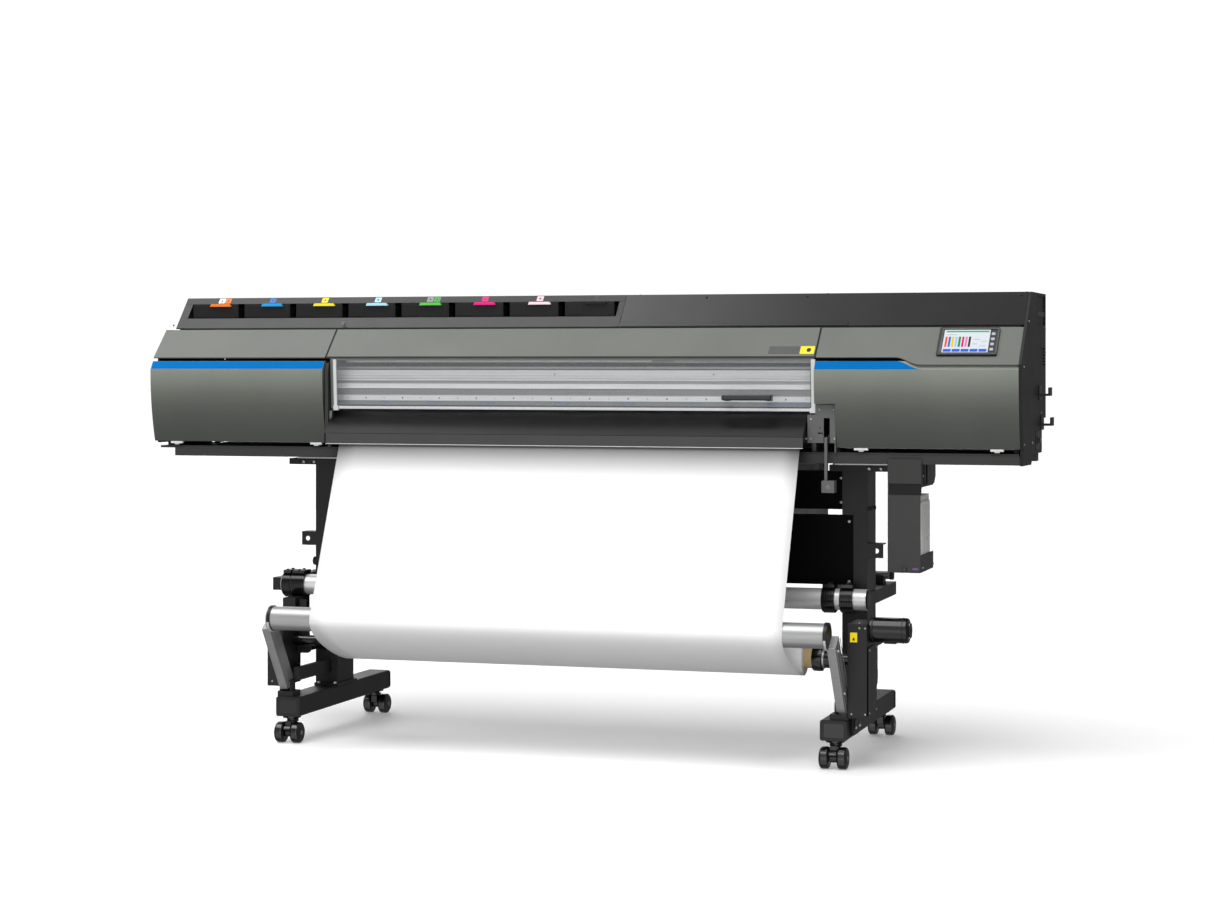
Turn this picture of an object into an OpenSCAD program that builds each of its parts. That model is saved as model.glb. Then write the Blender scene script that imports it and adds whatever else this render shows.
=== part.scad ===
// Roll-fed printer and cutter on a wheeled stand, with ink trays and a take-up unit.
// Machine axes: X to the right, Y to the back, Z up. X = 0 is the middle of the body,
// Y = 0 is the front edge of the sloped top covers and Z = 0 is the floor.
// machine() then shifts everything so that the origin is under the middle of the whole box.

/* [Body] */
// Width of the main body over its side covers
body_w = 2600; // [2560:10:2700]
// Height of the top covers above the floor
body_top = 1298; // [1290:1:1310]
// Distance from the sloped covers' front edge to the back cover
body_back = 463; // [450:1:480]
// Height of the sloped covers' front edge
slope_low = 1117; // [1114:1:1120]
// Thickness of the cover sheets
sheet = 3; // [2:0.5:4]
// Height of the covers' bottom edge
cover_low = 867; // [862:1:872]
// Radius of the curve of the front panels
bulge_r = 742; // [700:1:800]

/* [Front opening] */
// Middle of the gap between the left and the front cover
seam_left = -740; // [-745:1:-738]
// Middle of the gap between the front and the right cover
seam_right = 727.5; // [726:0.5:730]
// Gap between neighbouring covers
seam_gap = 3; // [2:0.5:4]
// Height of the lower edge of the window
window_low = 972; // [968:1:980]

/* [Ink trays] */
// Number of ink trays
tray_count = 8; // [6:1:8]
// Distance from one tray to the next
tray_pitch = 169.9; // [165:0.1:170]
// Width of a tray
tray_w = 150; // [140:1:155]
// Left edge of the first tray
tray_first = -1231.6; // [-1235:0.1:-1230]

/* [Media path] */
// Left edge of the media web
web_left = -677; // [-690:1:-600]
// Right edge of the media web
web_right = 695; // [600:1:695]
// Height of the platen's top face
platen_top = 950; // [948:1:952]
// Radius of the grit roller
grit_r = 11; // [10:0.5:12]
// Radius of the pinch rollers
pinch_r = 8; // [7:0.5:8]
// Number of pinch rollers
pinch_count = 9; // [5:1:9]

/* [Take-up] */
// Radius of the tension tube
tension_r = 34; // [30:0.5:36]
// Outer radius of the wound media
roll_r = 48; // [40:1:52]
// Outer radius of the cardboard core
core_r = 28; // [27.5:0.1:30]
// Inner radius of the cardboard core
core_bore_r = 25.4; // [25:0.1:26]
// Radius of the hubs that carry a supply roll
supply_hub_r = 37.8; // [37:0.1:38]
// Length of each supply hub
supply_hub_len = 50; // [40:1:60]

/* [Stand] */
// Distance from the middle to each leg
leg_x = 805.3; // [800:0.1:810]
// Width of a base beam
beam_w = 72.9; // [70:0.1:74]
// Underside of the base beams
beam_low = 76.7; // [76:0.1:78]
// Top of the base beams
beam_top = 133.2; // [132:0.1:135]
// Front end of the base beams
beam_front = -123.2; // [-125:0.1:-120]
// Back end of the base beams
beam_back = 566; // [560:1:570]
// Radius of the caster wheels
wheel_r = 30; // [28:0.5:31]
// Width of one caster wheel
wheel_w = 25; // [22:1:26]

/* [Tools] */
// Radius of the blade holder's socket
blade_r = 5.75; // [5:0.05:6]
// Length of the blade holder's socket
blade_len = 30; // [20:1:32]

/* [Hidden] */
$fn = 64;
hook_out = 32;
half_w = body_w / 2;
skin_end = half_w - 8;
slope_back = 84;
slope_angle = atan2(85, 86);
slope_len = slope_back / cos(slope_angle);
slope_t = 4;
bulge_y = bulge_r - 20.5;
bulge_z = 1075;
shoulder_z = 1083;
panel_top = 1106;
panel_back = 12;
housing_y = 96;
hinge_y = 92;
hinge_z = 1192;
hinge_places = [-560, 0, 560];
housing_low = slope_low + 86;
housing_top_y = 175.7;
division_x = 131;
frame_low = 823.6;
frame_top = 848;
deck_top = 854;
column_w = 72;
column_front = 160;
column_back = 280;
bracket_low = 796;
bracket_top = 814;
rail_y = 105;
rail_z = 440;
rail_r = 30;
roll_y = 20;
roll_z = 283;
spindle_r = 15;
tension_y = -222.5;
tension_z = 371.4;
pivot_y = -85;
pivot_z = 165;
pivot_r = 5;
grit_y = 150;
grit_z = platen_top - grit_r;
web_t = 0.8;
web_gap = 0.3;
lever_y = 50;
lever_z = 890;
supply_y = 470;
supply_z = 480;
supply_shaft_r = 12;
running = 0.05;
stem_offset = 18;
caster_front = -110;
caster_back = 553;
pulley_x = 1180;
pulley_r = 15;
belt_y = 100;
belt_z = 1106;
wrap_r = tension_r + web_gap + web_t / 2;
lap = 1;
body_x = -hook_out / 2;
front_y = -(caster_back + wheel_r + tension_y - wrap_r - web_t / 2) / 2;

// ---- helpers --------------------------------------------------------------------

// Shifts the machine's own axes to the part's origin
module machine() translate([body_x, front_y, 0]) children();

// Right-hand version for s = 1, left-hand version for s = -1
module hand(s) mirror([s < 0 ? 1 : 0, 0, 0]) children();

// Box between two corners
module block(x, y, z)
    translate([x[0], y[0], z[0]]) cube([x[1] - x[0], y[1] - y[0], z[1] - z[0]]);

// Outline in Y and Z, drawn out along X
module along_x(x)
    translate([x[0], 0, 0]) rotate([90, 0, 90]) linear_extrude(x[1] - x[0]) children();

// Round bar along X
module rod_x(x, y, z, r)
    translate([x[0], y, z]) rotate([0, 90, 0]) cylinder(r = r, h = x[1] - x[0]);

// Round bar along Z
module rod_z(x, y, z, r)
    translate([x, y, z[0]]) cylinder(r = r, h = z[1] - z[0]);

// Round tube along X
module tube_x(x, y, z, r, bore) {
    difference() {
        rod_x(x, y, z, r);
        rod_x([x[0] - lap, x[1] + lap], y, z, bore);
    }
}

// Rectangle with round corners, from [0, 0] to [w, h]
module rounded(w, h, r) {
    translate([r, 0]) square([w - 2 * r, h]);
    translate([0, r]) square([w, h - 2 * r]);
    for (x = [r, w - r], y = [r, h - r]) translate([x, y]) circle(r = r);
}

// Points of an arc about [y, z]
function arc(y, z, r, from, to, steps) =
    [for (i = [0:steps]) let (a = from + (to - from) * i / steps) [y + r * cos(a), z + r * sin(a)]];

// Stands on the slope of the top covers: x along the machine, y up the slope, z outwards
module on_slope() translate([0, 0, slope_low]) rotate([slope_angle, 0, 0]) children();

// ---- body sections ------------------------------------------------------------------

// Front panel's outline in Y and Z, shrunk by inset
module panel_section(inset) {
    intersection() {
        translate([bulge_y, bulge_z]) circle(r = bulge_r - inset);
        polygon([[-40, cover_low + inset], [panel_back, cover_low + inset],
            [panel_back, panel_top - inset], [-4 + inset, panel_top - inset],
            [-18.5 + inset, shoulder_z], [-40, shoulder_z]]);
    }
}

// Hollow front panel with closed ends, open at the back
module front_panel(x) {
    difference() {
        along_x(x) panel_section(0);
        along_x([x[0] + sheet, x[1] - sheet]) {
            panel_section(sheet);
            translate([panel_back - lap, cover_low + sheet])
                square([2 * lap, panel_top - cover_low - 2 * sheet]);
        }
    }
}

// Outline of the right side of the body in Y and Z
module side_section() {
    polygon([[4, 822], [168, 820], [198, 846], [382, 848], [382, 944], [body_back, 944],
        [body_back, body_top], [housing_top_y, body_top], [-20.4, 1096.8], [-18.5, shoulder_z],
        [panel_back, shoulder_z], [panel_back, cover_low]]);
    panel_section(0);
}

// Outline of the housings behind the slope, shrunk by inset
module housing_section(inset, low = housing_low) {
    polygon([[housing_y + inset, low], [housing_y + inset, housing_low + 3 - inset / 2],
        [housing_top_y + inset / 2, body_top - inset], [body_back - inset, body_top - inset],
        [body_back - inset, low]]);
}

// ---- stand ---------------------------------------------------------------------------

module leg(s) hand(s) {
    column = [770, 770 + column_w];
    // base beam
    translate([leg_x - beam_w / 2, beam_back, beam_low]) rotate([90, 0, 0])
        linear_extrude(beam_back - beam_front) rounded(beam_w, beam_top - beam_low, 6);
    // column and its foot bolts' plate
    block(column, [column_front, column_back], [beam_top - lap, bracket_low + lap]);
    block([column[0] - 6, column[1]], [column_front - 12, column_back + 12],
        [beam_top - lap, beam_top + 8]);
    // head plate under the body
    block([735, s < 0 ? 924 : 905], [150, 290], [bracket_low, bracket_top]);
    block([745, 895], [155, 285], [bracket_top - lap, frame_low]);
    // block and fork that carry the tension bar
    block([794, 842], [-112, -58], [beam_top - lap, 148]);
    for (x = [[804, 810], [837.6, 842]])
        block(x, [pivot_y - 14, pivot_y + 14], [148 - lap, pivot_z + 14]);
    rod_x([804, 842], pivot_y, pivot_z, pivot_r);
    // stay from the left fork back to the column
    if (s < 0) block([790, 808], [-75, column_front + lap], [176, 213]);
    // folded ear with a hole for accessories, on the outer face of the column
    difference() {
        block([column[1] - lap, column[1] + 45], [column_front, column_front + 4], [553, 594]);
        translate([column[1] + 26, column_front - lap, 573]) rotate([-90, 0, 0])
            cylinder(r = 7, h = 6);
    }
    block([column[1] - lap, column[1] + 45], [column_front, column_front + 44], [590.5, 594]);
}
module leg_left() color("dimgray") machine() leg(-1);
module leg_right() color("dimgray") machine() leg(1);

module stand_panels() color("black") machine() {
    // lower panel on the columns' front faces, folded back along its long edges
    block([-802, 802], [157, 160], [476, 673]);
    for (z = [[476, 479], [670, 673]]) block([-768, 768], [159, 172], z);
    // upper panel between the columns
    block([-770, 770], [200, 203], [686, 795]);
    for (z = [[686, 689], [792, 795]]) block([-733, 733], [202, 214], z);
}

module holder_rail() color("silver") machine()
    tube_x([-919, 854], rail_y, rail_z, rail_r, rail_r - 3);

// Split clamp around the holder rail
module rail_clamp(x) {
    tube_x(x, rail_y, rail_z, rail_r + 6, rail_r);
    block(x, [rail_y - 12, rail_y + 12], [rail_z + rail_r + 2, rail_z + rail_r + 12]);
}

module supply_arms() color("dimgray") machine() {
    arm_z = [416, 454];
    cradle = [supply_y - 20, supply_y + 20];
    // right arm with its lap plate on the column
    block([790, 846], [281, 566], arm_z);
    block([842, 846], [148, 282], arm_z);
    // left arm with its bracket to the column
    block([-977, -942], [148, 566], arm_z);
    block([-943, -842], [180, 260], [420, 450]);
    // cradles for the supply shaft
    for (x = [[806, 830], [-970, -949]]) difference() {
        block(x, cradle, [arm_z[1] - lap, supply_z]);
        rod_x([x[0] - lap, x[1] + lap], supply_y, supply_z, supply_shaft_r + 0.3);
    }
    // clamps on the holder rail
    for (x = [[728, 762], [780, 814]]) rail_clamp(x);
    block([780, 814], [rail_y + rail_r + 4, column_front], [425, 455]);
    rail_clamp([-915, -890]);
    block([-915, -890], [rail_y + rail_r + 4, 181], [425, 450]);
}

// ---- bed and media path ----------------------------------------------------------------

module bed_frame() color("dimgray") machine() {
    // deck and beams
    block([-1283, 1288], [14, 300], [frame_top - lap, deck_top]);
    block([-1232.7, 1291], [8.5, 58], [frame_low, frame_top]);
    block([-1232.7, 1291], [330, 376], [frame_low, deck_top]);
    // bearers over the legs, and ends that tie the beams together
    for (s = [-1, 1]) hand(s) {
        block([740, 900], [57, 331], [frame_low, frame_top]);
        block([1240, 1282], [57, 331], [frame_top - lap, deck_top]);
        block([1268, 1282], [60, 330], [deck_top - lap, 1094]);
    }
    // uprights behind the media, with arms and a beam that carry the hinges and the housings
    for (x = [-1262, -570, 119, 700, 1268]) {
        block([x, x + 12], [335, 375], [deck_top - lap, x < 200 ? housing_low : body_top - sheet]);
        block([x, x + 12], [98, 374], [1188, housing_low]);
    }
    block([-1262, 1280], [98, 118], [1188, housing_low]);
    for (x = hinge_places) {
        block([x - 20, x - 1], [hinge_y, 99], [hinge_z - 4, hinge_z + 4]);
        rod_x([x - 20, x - 1], hinge_y, hinge_z, 4.5);
        rod_x([x - 20, x + 20], hinge_y, hinge_z, 2.5);
    }
    // dark cheek between the left cover and the window
    along_x([-737, -727]) polygon([[-10, 880], [14, 860], [14, 1100], [-4, 1100], [-12, 1075]]);
    block([-737, -727], [10, 18], [deck_top - lap, 1100]);
}

module platen() color("silver") machine() difference() {
    union() {
        for (x = [[-720, -708], [703, 715]]) block(x, [74, 300], [deck_top, platen_top]);
        for (y = [[74, 137], [163, 300]]) block([-709, 704], y, [platen_top - 6, platen_top]);
        block([-709, 704], [294, 300], [deck_top, platen_top]);
    }
    for (x = [[-722, -706], [701, 717]]) rod_x(x, grit_y, grit_z, 6 + running);
}

module front_apron() color("black") machine() {
    ring_y = 100.8;
    ring_z = 777.7;
    ring_r = 192;
    lip_y = [-50, -47];
    along_x([-722, 704]) {
        intersection() {
            difference() {
                translate([ring_y, ring_z]) circle(r = ring_r);
                translate([ring_y, ring_z]) circle(r = ring_r - sheet);
            }
            polygon([[ring_y, ring_z], [ring_y - 300, ring_z + 237.8], [ring_y - 61.6, ring_z + 300]]);
        }
        translate([lip_y[0], cover_low]) square([sheet, 30]);
    }
    for (x = [[-722, -718], [700, 704]]) along_x(x)
        polygon([[-49, 868], [-49, 896], [-20, 924], [20, 950], [62, 963], [73.7, 962], [73.7, 905],
            [-10, 868]]);
}

module guide_rail() color("gainsboro") machine() {
    front = 58;
    along_x([-1268, 1268]) difference() {
        union() {
            translate([front, 1018]) square([60, 72]);
            translate([front, 978]) square([3, 41]);
        }
        translate([front + 8, 1026]) square([44, 56]);
        for (z = [1034, 1046, 1060]) translate([front - lap, z]) square([1 + lap, 2]);
    }
}

// Points of the web's middle line in Y and Z, from the rear edge of the platen to the wound roll
web_path = concat([[318, 560], [318, 930]], arc(298, 930.7, 20, 10, 90, 6),
    arc(60, 850.7, 100, 90, 160, 8),
    [[-44, 866]],
    arc(tension_y, tension_z, wrap_r, 156.4, 246.9, 10),
    arc(roll_y, roll_z, roll_r + web_gap + web_t / 2, 246.9, 272, 3));
web_last = len(web_path) - 1;

// Direction of the web's line at point i, and the point beside it on one face
function web_run(i) =
    let (step = web_path[min(i + 1, web_last)] - web_path[max(i - 1, 0)]) step / norm(step);
function web_face(i, side) = web_path[i] + side * web_t / 2 * [-web_run(i)[1], web_run(i)[0]];

module media_web() color("white") machine() along_x([web_left, web_right])
    polygon(concat([for (i = [0:web_last]) web_face(i, 1)],
        [for (i = [web_last:-1:0]) web_face(i, -1)]));

module pinch_bar() color("gray") machine() {
    axle_z = platen_top + 2 * web_gap + web_t + pinch_r;
    block([-706, 701], [grit_y - 12, grit_y + 12], [990, 1012]);
    for (i = [0:pinch_count - 1]) {
        x = (i - (pinch_count - 1) / 2) * 155;
        for (side = [-16, 12]) block([x + side, x + side + 4], [142, 158], [axle_z - 4, 991]);
        rod_x([x - 16, x + 16], grit_y, axle_z, 2);
    }
}

module pinch_rollers() color("dimgray") machine() {
    axle_z = platen_top + 2 * web_gap + web_t + pinch_r;
    for (i = [0:pinch_count - 1]) {
        x = (i - (pinch_count - 1) / 2) * 155;
        tube_x([x - 11, x + 11], grit_y, axle_z, pinch_r, 2 + running);
    }
}

module grit_roller() color("silver") machine() {
    rod_x([-702, 697], grit_y, grit_z, grit_r);
    rod_x([-722, 717], grit_y, grit_z, 6);
}

// ---- covers --------------------------------------------------------------------------------

module left_front_cover() color("#555a56") machine()
    front_panel([-half_w, seam_left - seam_gap / 2]);

module right_front_cover() color("#555a56") machine() difference() {
    front_panel([seam_right + seam_gap / 2, skin_end]);
    block([seam_right, 787], [-60, 60], [cover_low - 20, 988]);
}

module left_top_cover() color("#70736e") machine() {
    end = seam_left - seam_gap / 2;
    on_slope() block([-half_w, end], [0, slope_len], [-slope_t, 0]);
    block([-half_w, -1276], [slope_back - 2, body_back], [housing_low - 6, housing_low - 3]);
    along_x([-half_w, sheet - half_w]) polygon([[panel_back + 1, 1125], [slope_back, housing_low - 9],
        [slope_back, housing_low - 5], [body_back, housing_low - 5], [body_back, 1125]]);
}

module right_top_cover() color("#70736e") machine() {
    start = seam_right + seam_gap / 2;
    wave = [951, 1024];
    drop = 28.7;
    on_slope() translate([0, 0, -slope_t]) linear_extrude(slope_t)
        polygon(concat([[start, slope_len], [start, 0]],
            [for (t = [0:0.1:1]) [wave[0] + (wave[1] - wave[0]) * t, -drop * (1 - cos(180 * t)) / 2]],
            [[skin_end, -drop], [skin_end, slope_len]]));
}

module side_covers() color("#222222") machine() {
    difference() {
        along_x([skin_end, half_w]) side_section();
        block([skin_end - lap, half_w + lap], [254, 346], [857, 911]);
        block([half_w - 5, half_w + lap], [285, 457], [1209, 1290]);
        for (i = [0:5]) block([half_w - 4, half_w + lap], [362, 446], [1094 + 9 * i, 1098 + 9 * i]);
    }
    along_x([-1294, -1288]) polygon([[16, 862], [198, 862], [378, 862], [378, 944],
        [body_back - 4, 944], [body_back - 4, 1120], [16, 1120]]);
}

module back_cover() color("#222222") machine() along_x([-1287, skin_end])
    polygon([[body_back - 3, 1193], [body_back, 1193], [body_back, 944], [382, 944], [382, deck_top],
        [379, deck_top], [379, 947], [body_back - 3, 947]]);

module tray_housing() color("#4a4c4a") machine() {
    ends = [[-1273.5, -1248], [114, division_x]];
    run = [ends[0][0] + lap, ends[1][1] - lap];
    for (x = ends) along_x(x) housing_section(0);
    along_x(run) {
        // lower rail, shelf and floor
        polygon([[housing_y, housing_low], [housing_y, housing_low + 2.4], [119, 1235],
            [400, 1235], [400, 1231], [124, 1231], [124, housing_low]]);
        translate([123, housing_low]) square([body_back - 123, 3]);
        // top plate with its sloped front strip
        polygon([[159, 1279.5], [housing_top_y, body_top], [body_back, body_top],
            [body_back, body_top - 3], [177, body_top - 3], [163, 1279.5]]);
        translate([body_back - 3, housing_low]) square([3, body_top - housing_low]);
    }
    for (i = [1:tray_count - 1]) {
        x = tray_first + i * tray_pitch - (tray_pitch - tray_w) / 2;
        block([x - 2, x + 2], [180, 400], [1234, 1296]);
    }
}

module rear_top_cover() color("#333433") machine() {
    x = [division_x + 0.5, skin_end - 0.5];
    foot = housing_low + 3;
    difference() {
        along_x(x) housing_section(0);
        along_x([x[0] + sheet, x[1] - sheet]) housing_section(sheet, housing_low - lap);
    }
    // folded lip along the lower edge
    along_x([division_x + 6, 800]) polygon([[housing_y - 3, foot], [housing_y + 6, foot + 10],
        [housing_y + 9, foot + 10], [housing_y + 2, foot]]);
}

module control_panel() color("black") machine() on_slope() difference() {
    translate([1064, 3, 0]) linear_extrude(6) rounded(165, 108, 5);
    translate([1074, 12, 4]) cube([146, 90, 4]);
}

module panel_screen() color("aliceblue") machine() on_slope()
    translate([1074.2, 12.2, 4]) cube([145.6, 89.6, 1.2]);

module side_hooks() color("black") machine()
    for (h = [[310, 1008], [350, 923]]) {
        block([half_w, half_w + 3], [h[0], h[0] + 56], [h[1] - 12, h[1] + 30]);
        block([half_w, half_w + hook_out], [h[0] + 6, h[0] + 50], [h[1], h[1] + 6]);
        block([half_w + hook_out - 6, half_w + hook_out], [h[0] + 6, h[0] + 50], [h[1], h[1] + 24]);
    }

module socket_panel() color("black") machine() difference() {
    block([skin_end - 9, half_w + 1.5], [254.2, 345.8], [857.2, 910.8]);
    // power inlet and network socket
    block([skin_end - 2, half_w + 5], [262, 290], [874, 894]);
    block([skin_end - 2, half_w + 5], [305, 321], [876, 890]);
}

module bottle_housing() color("#3a3a3a") machine() {
    x = [931, 1022];
    low = 527;
    // front plate, left wall, bottom, side lip and cap
    block(x, [0, 3], [low, 838]);
    block([x[0], x[0] + 3], [2, 200], [low, 822]);
    block(x, [2, 200], [low, low + 3]);
    block([x[1] - 3, x[1]], [2, 200], [low, 575]);
    block(x, [2, 200], [760, 763]);
    block([x[1] - 3, x[1]], [2, 200], [760, 822]);
    block(x, [2, 200], [819, 822.4]);
    // hanger up to the deck's underside
    block([x[0] + 10, x[1] - 10], [60, 190], [822, frame_top - lap]);
    block([x[1], x[1] + 4], [62, 190], [765, 846]);
}

module waste_bottle() color("ghostwhite", 0.6) machine() {
    translate([940, 14, 531]) linear_extrude(205) rounded(74, 172, 14);
    rod_z(977, 100, [735, 752], 22);
    rod_z(977, 100, [751, 758], 26);
}

// ---- take-up unit --------------------------------------------------------------------------------

module takeup_drive() color("#2e2f2f") machine() difference() {
    union() {
        block([842, 895.5], [-107, 13], [138, 395]);
        // flange bolted to the side of the base beam
        block([842, 850], [-60, 10], [84, 139]);
        // gear cover behind the column
        block([846, 892], [12, 60], [215, 350]);
        rod_x([846, 892], 26, 350, 38);
        rod_x([846, 892], 22, 240, 42);
        // stay to the leg's column
        block([842, 892], [40, column_front + 20], [318, 340]);
    }
    rod_x([840, 884], roll_y, roll_z, spindle_r + running);
}

module takeup_motor() color("black") machine() translate([895.5, -47, 374]) rotate([0, 90, 0])
    rotate_extrude() {
        edge = 8;
        square([34.5, 105 - edge]);
        square([34.5 - edge, 105]);
        translate([34.5 - edge, 105 - edge]) circle(r = edge);
    }

module takeup_holder() color("#222222") machine() {
    difference() {
        union() {
            block([-896, -846], [-65, 60], [156, 330]);
            block([-886, -846], [20, 125], [300, 406]);
            block([-848, -842], [-60, 10], [84, 161]);
            block([-886, -842], [40, column_front + 20], [240, 262]);
        }
        rod_x([-898, -844], roll_y, roll_z, spindle_r + running);
    }
    rail_clamp([-886, -846]);
}

module takeup_flanges() color("black") machine() {
    // drive side
    rod_x([690, 720], roll_y, roll_z, core_bore_r);
    rod_x([720, 744], roll_y, roll_z, 34);
    rod_x([743, 790], roll_y, roll_z, 26);
    rod_x([789, 882], roll_y, roll_z, spindle_r);
    // idle side with its knob
    rod_x([-702, -672], roll_y, roll_z, core_bore_r);
    rod_x([-726, -702], roll_y, roll_z, 34);
    rod_x([-772, -725], roll_y, roll_z, 26);
    rod_x([-898, -771], roll_y, roll_z, spindle_r);
    rod_x([-912, -896.5], roll_y, roll_z, 19);
}

module takeup_core() color("tan") machine() tube_x([-702, 720], roll_y, roll_z, core_r, core_bore_r);

module takeup_roll() color("white") machine()
    tube_x([web_left, web_right], roll_y, roll_z, roll_r, core_r);

// Box section arm of the tension bar, from its pivot up to the tube
module tension_arm() {
    reach = norm([tension_y - pivot_y, tension_z - pivot_z]);
    lean = atan2(tension_z - pivot_z, tension_y - pivot_y);
    difference() {
        union() {
            translate([812, pivot_y, pivot_z]) rotate([lean, 0, 0])
                translate([0, 4, -26]) cube([24, reach - 24, 52]);
            rod_x([811, 837], pivot_y, pivot_z, 13);
        }
        translate([816, pivot_y, pivot_z]) rotate([lean, 0, 0])
            translate([0, -30, -20]) cube([16, reach - 30, 40]);
        rod_x([800, 850], pivot_y, pivot_z, pivot_r + running);
    }
}
module tension_bar() color("lightgray") machine() {
    for (s = [-1, 1]) hand(s) tension_arm();
    rod_x([-814, 814], tension_y, tension_z, tension_r);
    for (x = [[-813, -804], [804, 813]]) rod_x(x, tension_y, tension_z, tension_r + 1.5);
}

module supply_shaft() color("silver") machine() {
    rod_x([-985, 852], supply_y, supply_z, supply_shaft_r);
    for (s = [-1, 1]) hand(s) {
        rod_x([700, 718], supply_y, supply_z, 84);
        rod_x([700 - supply_hub_len, 701], supply_y, supply_z, supply_hub_r);
    }
}

// ---- moving parts of the head --------------------------------------------------------------------

// Distance of the window's outer face from the slope's front edge, at height z
function window_y(z) = 1 + 8 * (1108 - z) / (1108 - window_low);

module front_cover() color("#70736e") machine() {
    left = seam_left + seam_gap / 2;
    right = seam_right - seam_gap / 2;
    on_slope() block([left, right], [0, slope_len], [-slope_t, 0]);
    for (x = hinge_places) difference() {
        union() {
            rod_x([x, x + 19], hinge_y, hinge_z, 4.5);
            along_x([x, x + 19]) polygon([[84, 1194], [84.5, 1198], [hinge_y, hinge_z + 4.5],
                [hinge_y - 3, hinge_z - 3]]);
        }
        rod_x([x - lap, x + 20], hinge_y, hinge_z, 2.5 + running);
    }
    along_x([-724, 725]) polygon([[window_y(1108), 1112], [window_y(1108), 1108],
        [window_y(1108) + 8, 1108], [window_y(1108) + 8, 1122]]);
    for (x = [[-724, -713], [714, 725]]) along_x(x)
        polygon([[window_y(1112) - 3, 1113], [window_y(window_low) - 3, window_low - 4],
            [window_y(window_low) + 7, window_low - 4], [window_y(1112) + 8, 1118]]);
    along_x([-713.5, 714.5]) polygon([[window_y(window_low), window_low], [window_y(window_low) + 6, window_low],
        [window_y(window_low) + 6, window_low - 4], [window_y(window_low), window_low - 4]]);
}

module front_window() color("lightblue", 0.4) machine() along_x([-713, 714])
    polygon([[window_y(1108), 1108], [window_y(1108) + 3, 1108],
        [window_y(window_low) + 3, window_low], [window_y(window_low), window_low]]);

module cover_handle() color("black") machine() {
    z = [996, 1012];
    outer = [468, 605];
    rod_x(outer, -24, 1004, 6);
    for (x = [[outer[0], outer[0] + 16], [outer[1] - 16, outer[1]]]) along_x(x)
        polygon([[-28, z[0] + 2], [-28, z[1] - 2], [window_y(z[1]), z[1]], [window_y(z[0]), z[0]]]);
}

module lever_bracket() color("#5a5b5a") machine() {
    difference() {
        union() {
            block([729, 786.5], [-2, 1], [880, 985]);
            block([707, 730], [-2, 1], [880, 958]);
        }
        block([753, 770], [-5, 5], [860, 949]);
    }
    block([783, 786.5], [0, 70], [deck_top, 958]);
    rod_x([752, 784], lever_y, lever_z, 6);
}

module loading_lever() color("silver") machine() {
    plate = [758, 766];
    drop_y = [-18, -8];
    difference() {
        union() {
            rod_x([756, 769], lever_y, lever_z, 13);
            along_x(plate) {
                translate([drop_y[0], 884]) square([lever_y - drop_y[0] - 6, 12]);
                translate([drop_y[0], 770]) square([drop_y[1] - drop_y[0], 126]);
            }
        }
        rod_x([750, 775], lever_y, lever_z, 6 + running);
    }
    block([752, 784], [-28, 0], [745, 776]);
}

// Print head carriage at its parking place on the right
module print_carriage() color("#2b2c2d") machine() {
    block([850, 1090], [20, 55], [974, 1094]);
    block([850, 1090], [20, 125], [1093, 1099]);
    block([850, 1090], [121, 125], [1060, 1094]);
    for (i = [0:1]) block([880 + 100 * i, 950 + 100 * i], [24, 50], [970, 975]);
}

// Cutting carriage at its parking place on the left, with an open socket for a blade holder
module cut_carriage() color("#2b2c2d") machine() {
    block([-990, -880], [30, 55], [985, 1094]);
    block([-990, -880], [30, 125], [1093, 1099]);
    block([-990, -880], [121, 125], [1060, 1094]);
    difference() {
        block([-881, -855], [24, 50], [1000, 1000 + blade_len]);
        rod_z(-868, 37, [998, 1002 + blade_len], blade_r);
    }
}

module drive_pulley() color("silver") machine() difference() {
    union() {
        rod_z(pulley_x, belt_y, [belt_z - 5, belt_z + 5], pulley_r);
        rod_z(pulley_x, belt_y, [belt_z - 7, belt_z - 5], pulley_r + 3);
    }
    rod_z(pulley_x, belt_y, [belt_z - 8, belt_z + 6], 4 + running);
}

module carriage_belt() color("black") machine() {
    r_in = pulley_r + 0.4;
    t = 1.6;
    // toothed belt's loop
    difference() {
        union() {
            block([-pulley_x, pulley_x], [belt_y - r_in - t, belt_y + r_in + t], [belt_z - 4, belt_z + 4]);
            for (s = [-1, 1]) rod_z(s * pulley_x, belt_y, [belt_z - 4, belt_z + 4], r_in + t);
        }
        block([-pulley_x, pulley_x], [belt_y - r_in, belt_y + r_in], [belt_z - 6, belt_z + 6]);
        for (s = [-1, 1]) rod_z(s * pulley_x, belt_y, [belt_z - 6, belt_z + 6], r_in);
    }
    // motor shaft under the drive pulley and the idler at the other end
    rod_z(pulley_x, belt_y, [1090, belt_z + 5], 4);
    rod_z(-pulley_x, belt_y, [1090, belt_z + 5], r_in);
}

// ---- ink trays -----------------------------------------------------------------------------------

module ink_tray(i) color("#333435") machine() {
    x = tray_first + (i - 1) * tray_pitch;
    grip = x + tray_w / 2 + 19;
    block([x, x + tray_w], [128, 131], [1236, 1278]);
    // drawer, open at the top for an ink pouch
    difference() {
        block([x + 2, x + tray_w - 2], [130, 390], [1236, 1268]);
        block([x + 5, x + tray_w - 5], [134, 387], [1239, 1268 + lap]);
    }
    block([grip - 32.5, grip + 32.5], [120, 129], [1271, 1278]);
}
module ink_tray_1() ink_tray(1);
module ink_tray_2() ink_tray(2);
module ink_tray_3() ink_tray(3);
module ink_tray_4() ink_tray(4);
module ink_tray_5() ink_tray(5);
module ink_tray_6() ink_tray(6);
module ink_tray_7() ink_tray(7);
module ink_tray_8() ink_tray(8);

// ---- casters -------------------------------------------------------------------------------------

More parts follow.
